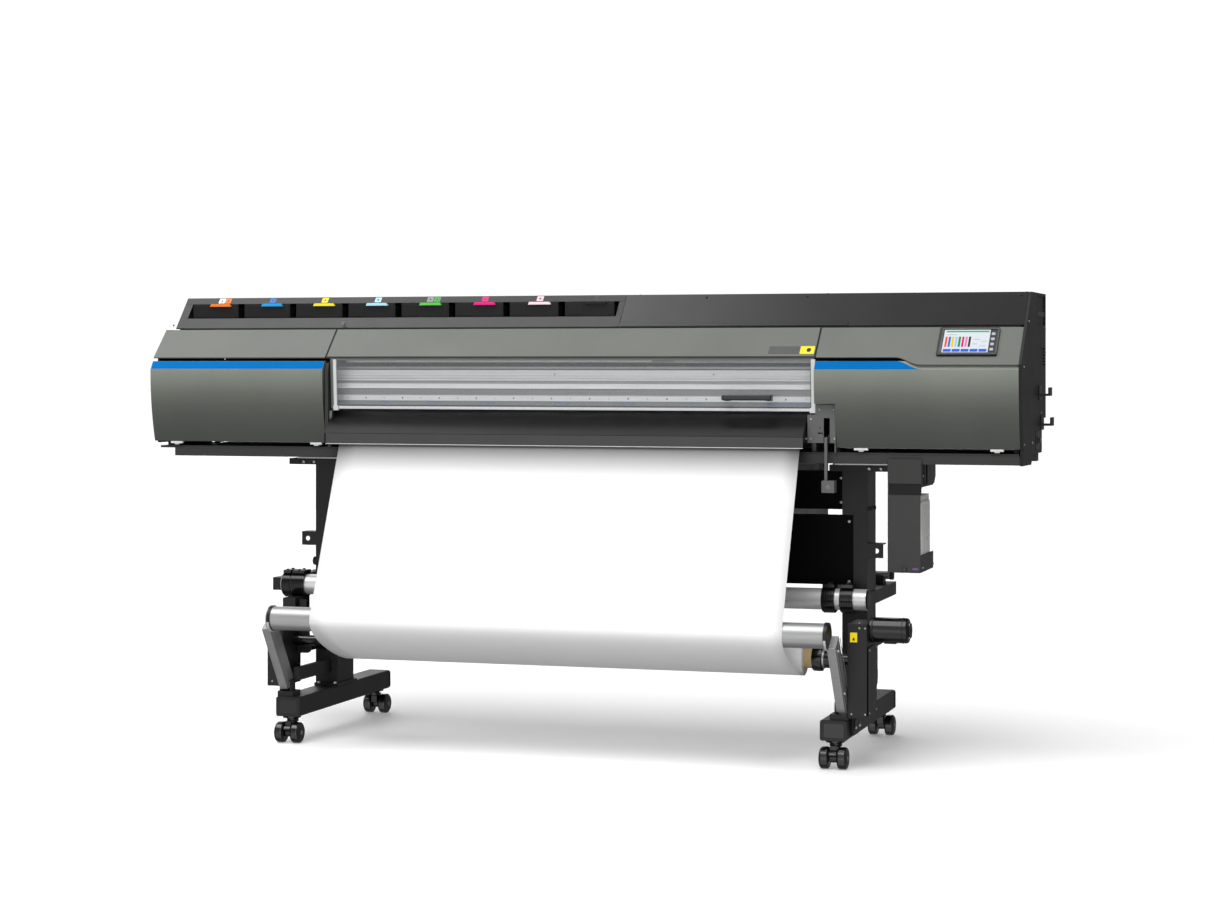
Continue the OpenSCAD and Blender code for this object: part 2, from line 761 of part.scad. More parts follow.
// Fork of a caster; the wheels trail towards dir
module caster_fork(x, wheel_y, dir) color("#1c1c1c") machine() {
    stem_y = wheel_y - dir * stem_offset;
    low = wheel_r;
    rod_z(x, stem_y, [beam_low - 6, beam_low], 26);
    rod_z(x, stem_y, [beam_low - 16, beam_low - 5], 11);
    block([x - 9, x + 9], [min(stem_y, wheel_y) - 9, max(stem_y, wheel_y) + 9], [low + 6, beam_low - 14]);
    rod_x([x - 9, x + 9], wheel_y, low, 13);
    rod_x([x - 38, x + 38], wheel_y, low, 4);
}
module caster_wheels(x, wheel_y) color("#141414") machine() {
    edge = 6;
    for (s = [-1, 1]) translate([x + s * (12 + wheel_w / 2), wheel_y, wheel_r]) rotate([0, 90, 0])
        translate([0, 0, -wheel_w / 2]) rotate_extrude() {
            translate([4 + running, 0]) square([wheel_r - edge - 4 - running, wheel_w]);
            translate([4 + running, edge]) square([wheel_r - 4 - running, wheel_w - 2 * edge]);
            for (z = [edge, wheel_w - edge]) translate([wheel_r - edge, z]) circle(r = edge);
        }
}
module caster_fork_fl() caster_fork(-leg_x, caster_front, -1);
module caster_fork_fr() caster_fork(leg_x, caster_front, -1);
module caster_fork_rl() caster_fork(-leg_x, caster_back, 1);
module caster_fork_rr() caster_fork(leg_x, caster_back, 1);
module caster_wheels_fl() caster_wheels(-leg_x, caster_front);
module caster_wheels_fr() caster_wheels(leg_x, caster_front);
module caster_wheels_rl() caster_wheels(-leg_x, caster_back);
module caster_wheels_rr() caster_wheels(leg_x, caster_back);

// ---- all nodes ---------------------------------------------------------------------------------

leg_left();
leg_right();
stand_panels();
holder_rail();
supply_arms();
bed_frame();
platen();
front_apron();
guide_rail();
left_front_cover();
right_front_cover();
left_top_cover();
right_top_cover();
side_covers();
back_cover();
tray_housing();
rear_top_cover();
control_panel();
panel_screen();
side_hooks();
socket_panel();
bottle_housing();
takeup_drive();
takeup_motor();
takeup_holder();
lever_bracket();
media_web();
front_cover();
front_window();
cover_handle();
loading_lever();
pinch_bar();
pinch_rollers();
grit_roller();
print_carriage();
cut_carriage();
drive_pulley();
carriage_belt();
takeup_flanges();
takeup_core();
takeup_roll();
tension_bar();
waste_bottle();
supply_shaft();
ink_tray_1();
ink_tray_2();
ink_tray_3();
ink_tray_4();
ink_tray_5();
ink_tray_6();
ink_tray_7();
ink_tray_8();
caster_fork_fl();
caster_fork_fr();
caster_fork_rl();
caster_fork_rr();
caster_wheels_fl();
caster_wheels_fr();
caster_wheels_rl();
caster_wheels_rr();
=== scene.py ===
"""Looks of a roll-fed printer and cutter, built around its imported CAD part.

Places are written in the machine's own millimetres: X = 0 is the middle of the body, Y = 0 is the
front edge of the sloped covers and Z = 0 is the floor. at() turns them into the frame's metres.
"""
import math

import bmesh
import bpy
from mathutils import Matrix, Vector


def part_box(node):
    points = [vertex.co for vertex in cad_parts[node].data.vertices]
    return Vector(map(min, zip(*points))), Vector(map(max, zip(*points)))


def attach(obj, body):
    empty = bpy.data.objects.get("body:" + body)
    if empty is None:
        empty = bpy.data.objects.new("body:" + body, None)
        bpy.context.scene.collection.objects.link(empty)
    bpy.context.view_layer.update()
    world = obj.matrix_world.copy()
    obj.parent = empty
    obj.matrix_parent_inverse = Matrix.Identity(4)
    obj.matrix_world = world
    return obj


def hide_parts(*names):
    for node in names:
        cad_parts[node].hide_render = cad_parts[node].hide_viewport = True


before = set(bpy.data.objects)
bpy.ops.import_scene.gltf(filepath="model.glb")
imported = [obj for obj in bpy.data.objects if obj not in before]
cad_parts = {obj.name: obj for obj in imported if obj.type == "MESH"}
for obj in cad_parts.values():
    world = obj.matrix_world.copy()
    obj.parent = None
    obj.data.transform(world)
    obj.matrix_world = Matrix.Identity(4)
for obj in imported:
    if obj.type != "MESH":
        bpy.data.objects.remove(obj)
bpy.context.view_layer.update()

MM = 0.001
BODY_LOW, BODY_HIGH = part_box("side_covers")
ORIGIN = Vector(((BODY_LOW.x + BODY_HIGH.x) / 2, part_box("left_top_cover")[0].y, 0))


def at(x, y, z):
    """A place in the machine's millimetres, as a point of the frame"""
    return ORIGIN + Vector((x, y, z)) * MM


def span(node, axis):
    """Lowest and highest place of a CAD node along an axis, in the machine's millimetres"""
    low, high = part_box(node)
    return (low[axis] - ORIGIN[axis]) / MM, (high[axis] - ORIGIN[axis]) / MM


# ---- the machine's main places ----

X, Y, Z = 0, 1, 2
FRONT, BACK, LEFT, RIGHT, UP = (0, -1, 0), (0, 1, 0), (-1, 0, 0), (1, 0, 0), (0, 0, 1)
SIDES = {-1: "left", 1: "right"}

# covers: the slope, the bevel under it and the strip along the front of the body's top
SLOPE_LOW, SLOPE_ANGLE = 1117, math.atan2(85, 86)
BEVEL_FOOT, BEVEL_HEAD = Vector((0, -18.5, 1083)), Vector((0, -4, 1106))
STRIP_FOOT, STRIP_HEAD = Vector((0, 159, 1279.5)), Vector((0, 175.7, 1298))
SEAM_LEFT = span("left_top_cover", X)[1]
SEAM_RIGHT = span("right_top_cover", X)[0]

# stand: the beams' and columns' sides, and the axes of what runs along X
BEAM, BEAM_Y = (768.9, 841.8), (-123.2, 566)
COLUMN_SIDE = 842
RAIL_Y, RAIL_Z = 105, 440
TUBE_Y, TUBE_Z = -222.5, 371.4
PIVOT_Y, PIVOT_Z = -85, 165
ROLL_Y, ROLL_Z = 20, 283
SUPPLY_Y, SUPPLY_Z = 470, 480
MOTOR_Y, MOTOR_Z = -47, 374
PINCH_Y = 150

TRAYS = ["ink_tray_%d" % i for i in range(1, 9)]
CORNERS = ["fl", "fr", "rl", "rr"]


def on_slope(x, up, out):
    """A place on the sloped covers: x along the machine, up the slope, out of its face"""
    c, s = math.cos(SLOPE_ANGLE), math.sin(SLOPE_ANGLE)
    return at(x, up * c - out * s, SLOPE_LOW + up * s + out * c)


def on_face(foot, head):
    """Makes a placing function on the flat face that rises from foot to head, like on_slope"""
    along = (head - foot).normalized()
    normal = Vector((0, -along.z, along.y))

    def place(x, up, out):
        p = foot + along * up + normal * out
        return at(x, p.y, p.z)
    return place


on_bevel = on_face(BEVEL_FOOT, BEVEL_HEAD)
on_strip = on_face(STRIP_FOOT, STRIP_HEAD)


def facing_front(y):
    """Makes a placing function for outlines in X and Z on the plane Y = y; out is to the front"""
    return lambda x, z, out: at(x, y - out, z)


def facing_back(y):
    """The same, with out to the back"""
    return lambda x, z, out: at(x, y + out, z)


def facing_right(x):
    """Makes a placing function for outlines in Y and Z on the plane X = x; out is to the right"""
    return lambda y, z, out: at(x + out, y, z)


def facing_left(x):
    """The same, with out to the left"""
    return lambda y, z, out: at(x - out, y, z)


def along_x(y, z, x):
    """Places outlines in Y and Z that are drawn out along the machine"""
    return at(x, y, z)


# ---- materials ----


def srgb(r, g, b):
    """A colour of 0 to 255 per channel, as linear light"""
    def linear(c):
        c /= 255
        return c / 12.92 if c <= 0.04045 else ((c + 0.055) / 1.055) ** 2.4
    return (linear(r), linear(g), linear(b), 1)


def grey(level):
    return srgb(level, level, level)


def scaled(colour, factor):
    """The colour made lighter or darker"""
    return tuple(min(1, c * factor) for c in colour[:3]) + (1,)


class Material:
    """A procedural material: noise varies colour and roughness, and finer noise gives the grain"""

    def __init__(self, name, colour, rough, metallic=0.0, specular=0.5):
        self.material = bpy.data.materials.new(name)
        self.material.use_nodes = True
        self.tree = self.material.node_tree
        self.shader = self.tree.nodes["Principled BSDF"]
        self.set(Metallic=metallic, Specular_IOR_Level=specular)
        self.colour, self.rough = colour, rough
        self.coordinates = self.node("TexCoord")
        self.height = None

    def node(self, kind, **inputs):
        """A new shader node; the names of its inputs have _ for a space"""
        made = self.tree.nodes.new("ShaderNode" + kind)
        for name, value in inputs.items():
            made.inputs[name.replace("_", " ")].default_value = value
        return made

    def link(self, source, output, target, entry):
        self.tree.links.new(source.outputs[output], target.inputs[entry])

    def noise(self, scale, stretch=(1, 1, 1), detail=3.0):
        mapping = self.node("Mapping", Scale=stretch)
        self.link(self.coordinates, "Object", mapping, "Vector")
        noise = self.node("TexNoise", Scale=scale, Detail=detail)
        self.link(mapping, "Vector", noise, "Vector")
        return noise

    def ramp(self, source, output, stops):
        ramp = self.node("ValToRGB")
        elements = ramp.color_ramp.elements
        while len(elements) < len(stops):
            elements.new(0.5)
        for element, (place, colour) in zip(elements, stops):
            element.position = place
            element.color = colour
        self.link(source, output, ramp, "Fac")
        return ramp

    def clouds(self, spread, scale, stretch=(1, 1, 1)):
        """Varies the colour by spread, in patches or streaks"""
        noise = self.noise(scale, stretch)
        ramp = self.ramp(noise, "Fac", [(0.3, scaled(self.colour, 1 - spread)),
                                        (0.7, scaled(self.colour, 1 + spread))])
        self.link(ramp, "Color", self.shader, "Base Color")
        return self

    def painted_light(self, axis, low, high, factors):
        """Paints light and shade into the colour, changing it from low to high along an axis: a painted
        highlight as a wide soft light gives on gloss, or a painted shadow
        """
        split = self.node("SeparateXYZ")
        self.link(self.coordinates, "Object", split, "Vector")
        place = self.node("MapRange", From_Min=low * MM + ORIGIN[axis],
                          From_Max=high * MM + ORIGIN[axis])
        self.link(split, "XYZ"[axis], place, "Value")
        ramp = self.ramp(place, "Result", [(i / (len(factors) - 1), (factor, factor, factor, 1))
                                           for i, factor in enumerate(factors)])
        mix = self.node("VectorMath")
        mix.operation = "MULTIPLY"
        colour = self.shader.inputs["Base Color"].links[0].from_socket
        self.tree.links.new(colour, mix.inputs[0])
        self.link(ramp, "Color", mix, 1)
        self.link(mix, "Vector", self.shader, "Base Color")
        return self

    def worn(self, spread, scale, stretch=(1, 1, 1)):
        """Varies the roughness by spread, as handling and cleaning do"""
        noise = self.noise(scale, stretch)
        change = self.node("MapRange", To_Min=max(0.02, self.rough - spread), To_Max=self.rough + spread)
        self.link(noise, "Fac", change, "Value")
        self.link(change, "Result", self.shader, "Roughness")
        return self

    def grain(self, scale, strength, depth=0.0003, stretch=(1, 1, 1)):
        """Fine bumps, such as powder coat, moulded plastic or brushing"""
        noise = self.noise(scale, stretch, 2.0)
        bump = self.node("Bump", Strength=strength, Distance=depth)
        self.link(noise, "Fac", bump, "Height")
        if self.height:
            self.link(self.height, "Normal", bump, "Normal")
        self.link(bump, "Normal", self.shader, "Normal")
        self.height = bump
        return self

    def set(self, **values):
        for name, value in values.items():
            self.shader.inputs[name.replace("_", " ")].default_value = value
        return self


def painted(name, colour, rough=0.42, spread=0.05, specular=0.3, painted_light=None):
    """Powder-coated sheet metal, with painted light and shade along an axis if asked"""
    made = Material(name, colour, rough, specular=specular).clouds(spread, 5)
    if painted_light:
        made.painted_light(*painted_light)
    return made.worn(0.06, 9).grain(1400, 0.10).grain(260, 0.05).material


def moulded(name, colour, rough=0.45, spread=0.08, specular=0.35):
    """Moulded plastic with a fine grain"""
    made = Material(name, colour, rough, specular=specular)
    return made.clouds(spread, 14).worn(0.08, 22).grain(900, 0.14).material


def brushed(name, colour, rough=0.32, stretch=(1, 60, 60), spread=0.10, metallic=0.9):
    """Metal brushed or drawn along the direction that stretch leaves long"""
    made = Material(name, colour, rough, metallic=metallic)
    made.clouds(spread, 9, stretch).worn(0.08, 14, stretch)
    return made.grain(60, 0.12, 0.0002, stretch).material


def printed(name, colour, rough=0.4):
    """Ink or film on a label"""
    made = Material(name, colour, rough, specular=0.25)
    return made.clouds(0.04, 40).worn(0.05, 60).grain(1800, 0.04).material


def lit(name, colour, strength):
    """A patch of a lit screen, with the faint unevenness of its backlight"""
    made = Material(name, scaled(colour, 0.25), 0.3, specular=0.2).clouds(0.03, 30)
    ramp = made.ramp(made.noise(18), "Fac", [(0.3, scaled(colour, 0.96)), (0.7, scaled(colour, 1.0))])
    made.link(ramp, "Color", made.shader, "Emission Color")
    return made.set(Emission_Strength=strength).material


# painted light: the front panels' colour grows lighter towards their tops, a painted highlight of the light
# from above
COVER = painted("cover_paint", srgb(66, 69, 64), 0.40,
                painted_light=(Z, 868, 1085, (0.96, 1.05, 1.2, 1.5, 2.1, 3.0, 3.8)))
SLOPE = painted("slope_paint", srgb(97, 100, 95), 0.42)
BLACK = painted("black_paint", grey(18), 0.48, specular=0.25)
BACK_PANEL = painted("back_panel_paint", grey(46), 0.42)
# painted light: the rear top cover's colour grows lighter from its right end towards the middle, a painted
# highlight
REAR = painted("rear_cover_paint", grey(20), 0.42, specular=0.12,
               painted_light=(X, 1270, 131, (0.9, 1.2, 2.0, 3.4, 5.6, 8.0, 10.5)))
STAND = painted("stand_paint", grey(27), 0.45)
BOX = painted("bottle_box_paint", grey(52), 0.45)
STAND_PANEL = painted("stand_panel_paint", grey(5), 0.55, specular=0.06)
CHASSIS = painted("chassis_paint", grey(48), 0.5)
HOUSING = painted("housing_paint", srgb(46, 46, 45), 0.4)
APRON = painted("apron_paint", srgb(9, 9, 10), 0.34, specular=0.15)
APRON_LIP = painted("apron_lip_paint", grey(62), 0.35)
STRIPE = painted("stripe_blue", srgb(0, 102, 172), 0.5, 0.03, specular=0.02)
RAIL = brushed("rail_aluminium", srgb(150, 151, 152), 0.36, metallic=0.35)
# painted light: lighter and darker copies of the rail's aluminium, painted as highlights and shade on the
# bands of its front face; their roughness and metal also differ a little
RAIL_HIGHLIT = brushed("rail_painted_highlight", grey(254), 0.36, metallic=0.1)
RAIL_LIT = brushed("rail_painted_light", grey(232), 0.36, metallic=0.15)
RAIL_SHADED = brushed("rail_painted_shade", srgb(126, 126, 127), 0.42, metallic=0.35)
TUBE = brushed("tube_aluminium", srgb(166, 166, 167), 0.34, metallic=0.5)
# painted highlight: the stand's cross rail is aluminium painted lighter than the other tubes for the
# highlight along it
TUBE_HIGHLIT = brushed("cross_rail_painted_highlight", srgb(222, 222, 223), 0.30, metallic=0.4)
STEEL = brushed("ground_steel", srgb(172, 172, 174), 0.28, spread=0.06, metallic=0.7)
ZINC = brushed("zinc_plate", srgb(196, 196, 194), 0.35, stretch=(8, 8, 8), metallic=0.5)
ARM = painted("arm_paint", grey(92), 0.42)
PLATEN = brushed("platen_anodised", srgb(120, 120, 122), 0.45, metallic=0.6)
FRAME_TRIM = brushed("window_frame_aluminium", srgb(205, 206, 206), 0.38, stretch=(60, 60, 1), metallic=0.2)
PLASTIC = moulded("black_plastic", srgb(22, 22, 23), 0.42)
GLOSSY = moulded("gloss_black_plastic", srgb(12, 12, 13), 0.16, specular=0.45)
TRAY = moulded("tray_plastic", srgb(26, 26, 27), 0.40, specular=0.2)
GREY_PLASTIC = moulded("grey_plastic", grey(112), 0.42)
WHITE_PLASTIC = moulded("white_plastic", srgb(214, 214, 212), 0.4, 0.03)
BOTTLE = moulded("bottle_plastic", srgb(240, 240, 237), 0.3, 0.04)
RUBBER = moulded("roller_rubber", grey(46), 0.7)
TREAD = moulded("caster_tread", srgb(16, 16, 17), 0.2, specular=0.6)
# painted shade: near-black for the shade inside gaps, slots, vents and recesses
SHADE_INSIDE = moulded("painted_shade_inside", grey(8), 0.7)
LABEL_GREY = printed("label_grey", srgb(76, 77, 76))
LABEL_YELLOW = printed("label_yellow", srgb(236, 214, 16))
LABEL_DARK = printed("label_dark", srgb(34, 34, 32))
LABEL_BLUE = printed("label_blue", srgb(104, 122, 150))
LABEL_PURPLE = printed("label_purple", srgb(104, 74, 128))
LABEL_WHITE = printed("label_white", srgb(206, 206, 204))
SCALE_MARK = printed("scale_mark", grey(30))


def card():
    """Spiral-wound cardboard"""
    made = Material("core_card", srgb(186, 160, 118), 0.75).clouds(0.12, 30, (6, 1, 1))
    return made.worn(0.06, 40).grain(500, 0.25, 0.0004).material


def film(name, colour, painted_light=None):
    """Smooth white vinyl film with a soft gloss, with painted light and shade along an axis if asked"""
    made = Material(name, colour, 0.42).clouds(0.012, 2)
    if painted_light:
        made.painted_light(*painted_light)
    return made.worn(0.05, 3).grain(1500, 0.03, 0.0001).material


def wound():
    """The end of a wound roll: fine rings"""
    made = Material("wound_film", grey(240), 0.5).clouds(0.05, 3, (1, 120, 120))
    return made.worn(0.05, 8).grain(90, 0.35, 0.0004, (1, 12, 12)).material


def clear():
    """Clear window plastic: mostly seen through, with a gloss"""
    made = Material("window_clear", srgb(225, 232, 236), 0.06).clouds(0.02, 4).worn(0.03, 6)
    made.material.surface_render_method = "BLENDED"
    return made.set(Alpha=0.10).material


CARD = card()
FILM = film("white_film", grey(250))
# painted shadow: a dark band where the apron's lip shades the hanging film, growing lighter below it
WEB = film("hanging_film", grey(89), (Z, 888, 732, (9.3, 1.0, 3.0, 5.2, 7.4, 8.6, 9.3)))
WOUND = wound()
CLEAR = clear()

NODE_LOOKS = {}
for look, names in (
    (STAND, "leg_left leg_right supply_arms takeup_drive"),
    (STAND_PANEL, "stand_panels"),
    (TUBE_HIGHLIT, "holder_rail"),
    (CHASSIS, "bed_frame pinch_bar"),
    (PLATEN, "platen"),
    (APRON, "front_apron"),
    (COVER, "left_front_cover right_front_cover"),
    (SLOPE, "left_top_cover right_top_cover front_cover"),
    (BLACK, "side_covers"),
    (BACK_PANEL, "back_cover"),
    (HOUSING, "tray_housing"),
    (REAR, "rear_top_cover"),
    (PLASTIC, "control_panel side_hooks socket_panel takeup_holder cover_handle print_carriage "
     "cut_carriage"),
    (GLOSSY, "panel_screen takeup_motor takeup_flanges"),
    (BOX, "bottle_housing"),
    (ARM, "lever_bracket loading_lever"),
    (CLEAR, "front_window"),
    (RUBBER, "pinch_rollers carriage_belt"),
    (STEEL, "grit_roller drive_pulley supply_shaft"),
    (CARD, "takeup_core"),
    (FILM, "takeup_roll media_web"),
    (TUBE, "tension_bar"),
    (BOTTLE, "waste_bottle"),
    (RAIL, "guide_rail"),
):
    NODE_LOOKS.update((name, look) for name in names.split())
NODE_LOOKS.update((tray, TRAY) for tray in TRAYS)
NODE_LOOKS.update(("caster_fork_" + corner, GLOSSY) for corner in CORNERS)
NODE_LOOKS.update(("caster_wheels_" + corner, TREAD) for corner in CORNERS)


def round_edges(piece, width):
    """Rounds the sharp edges of a piece, and keeps its flat faces flat in the shading"""
    bevel = piece.modifiers.new("round", "BEVEL")
    bevel.width = width * MM
    bevel.segments = 2
    bevel.limit_method = "ANGLE"
    bevel.angle_limit = math.radians(32)
    normals = piece.modifiers.new("normals", "WEIGHTED_NORMAL")
    normals.keep_sharp = False
    normals.weight = 60


EDGE_WIDTHS = {"left_front_cover": 2.0, "right_front_cover": 2.0, "left_top_cover": 1.2,
               "right_top_cover": 1.2, "front_cover": 1.0, "side_covers": 1.0, "leg_left": 1.4,
               "leg_right": 1.4, "takeup_drive": 1.4, "bottle_housing": 1.0, "control_panel": 1.2,
               "rear_top_cover": 1.2, "tension_bar": 1.0}

for name, look in NODE_LOOKS.items():
    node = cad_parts[name]
    node.data.materials.clear()
    node.data.materials.append(look)
    weld = node.modifiers.new("weld", "WELD")
    weld.merge_threshold = 0.01 * MM
    flat = node.modifiers.new("flat", "DECIMATE")
    flat.decimate_type = "DISSOLVE"
    flat.angle_limit = math.radians(0.4)
    round_edges(node, EDGE_WIDTHS.get(name, 0.6))


# ---- making pieces ----


class Piece:
    """One visible piece: closed solids gathered in one mesh, each with its own material"""

    def __init__(self, name, slot, edge, body="machine"):
        self.name, self.slot, self.edge, self.body = name, slot, edge, body
        self.mesh = bmesh.new()
        self.looks = []

    def paint(self, faces, look):
        if look not in self.looks:
            self.looks.append(look)
        for face in faces:
            face.material_index = self.looks.index(look)

    def solid(self, outline, low, high, place, look):
        """An outline of (a, b) points drawn out from low to high, set in the frame by place"""
        near = [self.mesh.verts.new(place(a, b, low)) for a, b in outline]
        far = [self.mesh.verts.new(place(a, b, high)) for a, b in outline]
        faces = [self.mesh.faces.new(near), self.mesh.faces.new(far)]
        for i in range(len(outline)):
            j = (i + 1) % len(outline)
            faces.append(self.mesh.faces.new([near[i], near[j], far[j], far[i]]))
        self.paint(faces, look)
        return self

    def block(self, x, y, z, look):
        """A box between two corners in the machine's millimetres"""
        return self.solid(corners(x, z), -y[1], -y[0], facing_front(0), look)

    def turned(self, centre, axis, profile, look, steps=32):
        """A profile of (along, radius) turned about the line through centre along axis"""
        axis = Vector(axis).normalized()
        side = axis.orthogonal().normalized()
        other = axis.cross(side)
        centre = at(*centre)
        turns = [2 * math.pi * k / steps for k in range(steps)]
        rings = []
        for along, radius in profile:
            outs = [(side * math.cos(t) + other * math.sin(t)) * radius for t in turns]
            rings.append([self.mesh.verts.new(centre + (axis * along + out) * MM) for out in outs])
        faces = [self.mesh.faces.new(rings[0]), self.mesh.faces.new(rings[-1])]
        for a, b in zip(rings, rings[1:]):
            for k in range(steps):
                n = (k + 1) % steps
                faces.append(self.mesh.faces.new([a[k], a[n], b[n], b[k]]))
        self.paint(faces, look)
        return self

    def screw(self, centre, axis, radius, height, look=STEEL):
        """A pan-head screw with a socket, standing on a face"""
        head = [(-1, radius), (height * 0.5, radius), (height * 0.85, radius * 0.86),
                (height, radius * 0.55), (height * 0.98, radius * 0.5), (height * 0.3, radius * 0.42)]
        return self.turned(centre, axis, head, look, 16)

    def finish(self, stands_for=()):
        bmesh.ops.recalc_face_normals(self.mesh, faces=self.mesh.faces)
        data = bpy.data.meshes.new(self.name)
        self.mesh.to_mesh(data)
        self.mesh.free()
        for look in self.looks:
            data.materials.append(look)
        data.polygons.foreach_set("use_smooth", [True] * len(data.polygons))
        piece = bpy.data.objects.new(self.name, data)
        bpy.context.scene.collection.objects.link(piece)
        round_edges(piece, self.edge)
        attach(piece, self.body)
        if stands_for:
            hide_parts(*stands_for)
        return piece


def corners(a, b):
    return [(a[0], b[0]), (a[1], b[0]), (a[1], b[1]), (a[0], b[1])]


def rounded(a, b, r, steps=5):
    """A rectangle with round corners"""
    points = []
    for ca, cb, start in ((a[1] - r, b[0] + r, -90), (a[1] - r, b[1] - r, 0),
                          (a[0] + r, b[1] - r, 90), (a[0] + r, b[0] + r, 180)):
        for k in range(steps + 1):
            t = math.radians(start + 90 * k / steps)
            points.append((ca + r * math.cos(t), cb + r * math.sin(t)))
    return points


def arc(ca, cb, r, start, end, steps):
    """Points on a circle's arc; angles in degrees"""
    turns = [math.radians(start + (end - start) * k / steps) for k in range(steps + 1)]
    return [(ca + r * math.cos(t), cb + r * math.sin(t)) for t in turns]


# ---- camera, floor and light ----

camera = bpy.data.objects.new("camera", bpy.data.cameras.new("camera"))
bpy.context.scene.collection.objects.link(camera)
# a level camera with a shifted frame, as worked out from the lines of the photo that run together
camera.location = at(2281.3, -6897.3, 1106.2)
camera.rotation_euler = (math.radians(90), 0, 0.3033)
camera.data.lens = 75.635
camera.data.sensor_width = 36
camera.data.shift_y = -0.0778
camera.data.clip_end = 60
bpy.context.scene.camera = camera
bpy.context.scene.view_settings.view_transform = "Standard"


def stage(name, points, faces, look):
    """A surface around the machine: seen by the camera, with no bounce on to the machine"""
    mesh = bpy.data.meshes.new(name)
    mesh.from_pydata(points, [], faces)
    mesh.materials.append(look)
    piece = bpy.data.objects.new(name, mesh)
    piece.visible_diffuse = False
    piece.visible_glossy = False
    bpy.context.scene.collection.objects.link(piece)
    return piece


def plain(name, level, glow):
    """White paint with a share of its own light, so that shadows on it stay soft and pale"""
    look = Material(name, grey(level), 0.6).clouds(0.003, 1).worn(0.04, 2)
    return look.set(Emission_Color=(1, 1, 1, 1), Emission_Strength=glow).material


REACH = 30
stage("floor", [(-REACH, -REACH, 0), (REACH, -REACH, 0), (REACH, REACH, 0), (-REACH, REACH, 0)],
      [(0, 1, 2, 3)], plain("floor_white", 236, 0.20))
SIDES_ROUND = 32
turns = [2 * math.pi * k / SIDES_ROUND for k in range(SIDES_ROUND)]
wall = [(k, (k + 1) % SIDES_ROUND) for k in range(SIDES_ROUND)]
stage("backdrop", [(REACH * math.cos(t), REACH * math.sin(t), z) for z in (-0.5, REACH) for t in turns],
      [(a, b, SIDES_ROUND + b, SIDES_ROUND + a) for a, b in wall]
      + [tuple(range(SIDES_ROUND, 2 * SIDES_ROUND))],
      plain("backdrop_white", 20, 1.0)).visible_shadow = False

world = bpy.data.worlds.new("studio")
world.use_nodes = True
world.node_tree.nodes["Background"].inputs["Color"].default_value = (1, 1, 1, 1)
world.node_tree.nodes["Background"].inputs["Strength"].default_value = 0.22
bpy.context.scene.world = world


def lamp(name, kind, energy):
    made = bpy.data.objects.new(name, bpy.data.lights.new(name, kind))
    made.data.energy = energy
    bpy.context.scene.collection.objects.link(made)
    return made


def sky(name, elevation, azimuth, spread, strength):
    """Even light from one side of the sky, with a wide source; azimuth 0 is the front"""
    source = lamp(name, "SUN", strength)
    source.data.angle = math.radians(spread)
    source.rotation_euler = (math.radians(90 - elevation), 0, math.radians(azimuth))


sky("overhead", 68, -12, 50, 2.4)
sky("front_fill", 12, 10, 70, 0.7)
sky("floor_bounce", -32, 10, 90, 1.3)
sky("back_fill", 28, 218, 50, 0.8)

# a large soft lamp over the left front, aimed at the body
key = lamp("key", "AREA", 35)
key.data.shape = "RECTANGLE"
key.data.size, key.data.size_y = 3.0, 1.6
key.location = at(-1700, -900, 3300)
key.rotation_euler = (at(-300, 0, 1000) - key.location).to_track_quat("-Z", "Y").to_euler()


# ---- covers ----


def stripes():
    """Blue stripes on the front panels' bevel; the right one ends under the top cover's wave"""
    inset = 0.6
    top = (BEVEL_HEAD - BEVEL_FOOT).length - inset
    left = Piece("stripe_left", "cover_grey", 0.15)
    left.solid(corners((span("left_front_cover", X)[0] + inset, SEAM_LEFT - inset), (inset, top)),
               -0.2, 0.5, on_bevel, STRIPE)
    left.finish()
    wave, steps = (951, 1024), 8
    rise = [(wave[1] + (wave[0] - wave[1]) * k / steps,
             top * (1 - math.cos(math.pi * k / steps)) / 2 + inset) for k in range(steps + 1)]
    right = Piece("stripe_right", "cover_grey", 0.15)
    right.solid([(SEAM_RIGHT + inset, inset)] + rise + [(SEAM_RIGHT + inset, top)],
                -0.2, 0.5, on_bevel, STRIPE)
    right.finish()


def latches():
    """White latch clips under the front panels"""
    face = facing_front(9)
    for i, (low, high) in enumerate(((-1248, -1210), (-794, -758), (833, 872), (1209, 1245))):
        clip = Piece("panel_latch_%d" % (i + 1), "bottle_plastic", 0.4)
        clip.solid(corners((low, high), (860.5, 866.5)), -8, 4, face, WHITE_PLASTIC)
        middle = (low + high) / 2
        clip.solid(corners((middle - 7, middle + 7), (857, 861)), -6, 2.5, face, WHITE_PLASTIC)
        clip.finish()


def seams():
    """Painted shade in the gaps between the covers and at the left panel's inner end, as near-black strips,
    and the handle's grip
    """
    wide, slope_end = 5.5, 119.6
    gap = Piece("painted_gap_shade", "black_cover", 0.1)
    for x in (SEAM_LEFT - 1, SEAM_RIGHT - 4.5):
        gap.solid(corners((x, x + wide), (1, slope_end)), -1.2, 0.3, on_slope, SHADE_INSIDE)
    gap.block((-744.8, -719.6), (6, 9), (900, 1104), SHADE_INSIDE)
    gap.finish()
    # painted shade: a near-black strip along the front cover's foot, in the gap above the bevel
    foot = Piece("painted_foot_shade", "slope_grey", 0.2, "front_cover")
    foot.solid(corners((SEAM_LEFT + 3, SEAM_RIGHT - 5), (-0.4, 3.4)), -0.4, 0.4, on_slope, SHADE_INSIDE)
    foot.finish()
    grip = Piece("handle_grip", "black_plastic", 1.2, "front_cover")
    grip.solid(rounded((-31, -19.5), (996.5, 1012), 5), 467, 606, along_x, GLOSSY)
    for low, high in ((467, 485), (588, 606)):
        grip.solid([(-29, 997.5), (-29, 1011), (-1, 1013.5), (-1, 994.5)], low, high, along_x, GLOSSY)
    grip.finish()


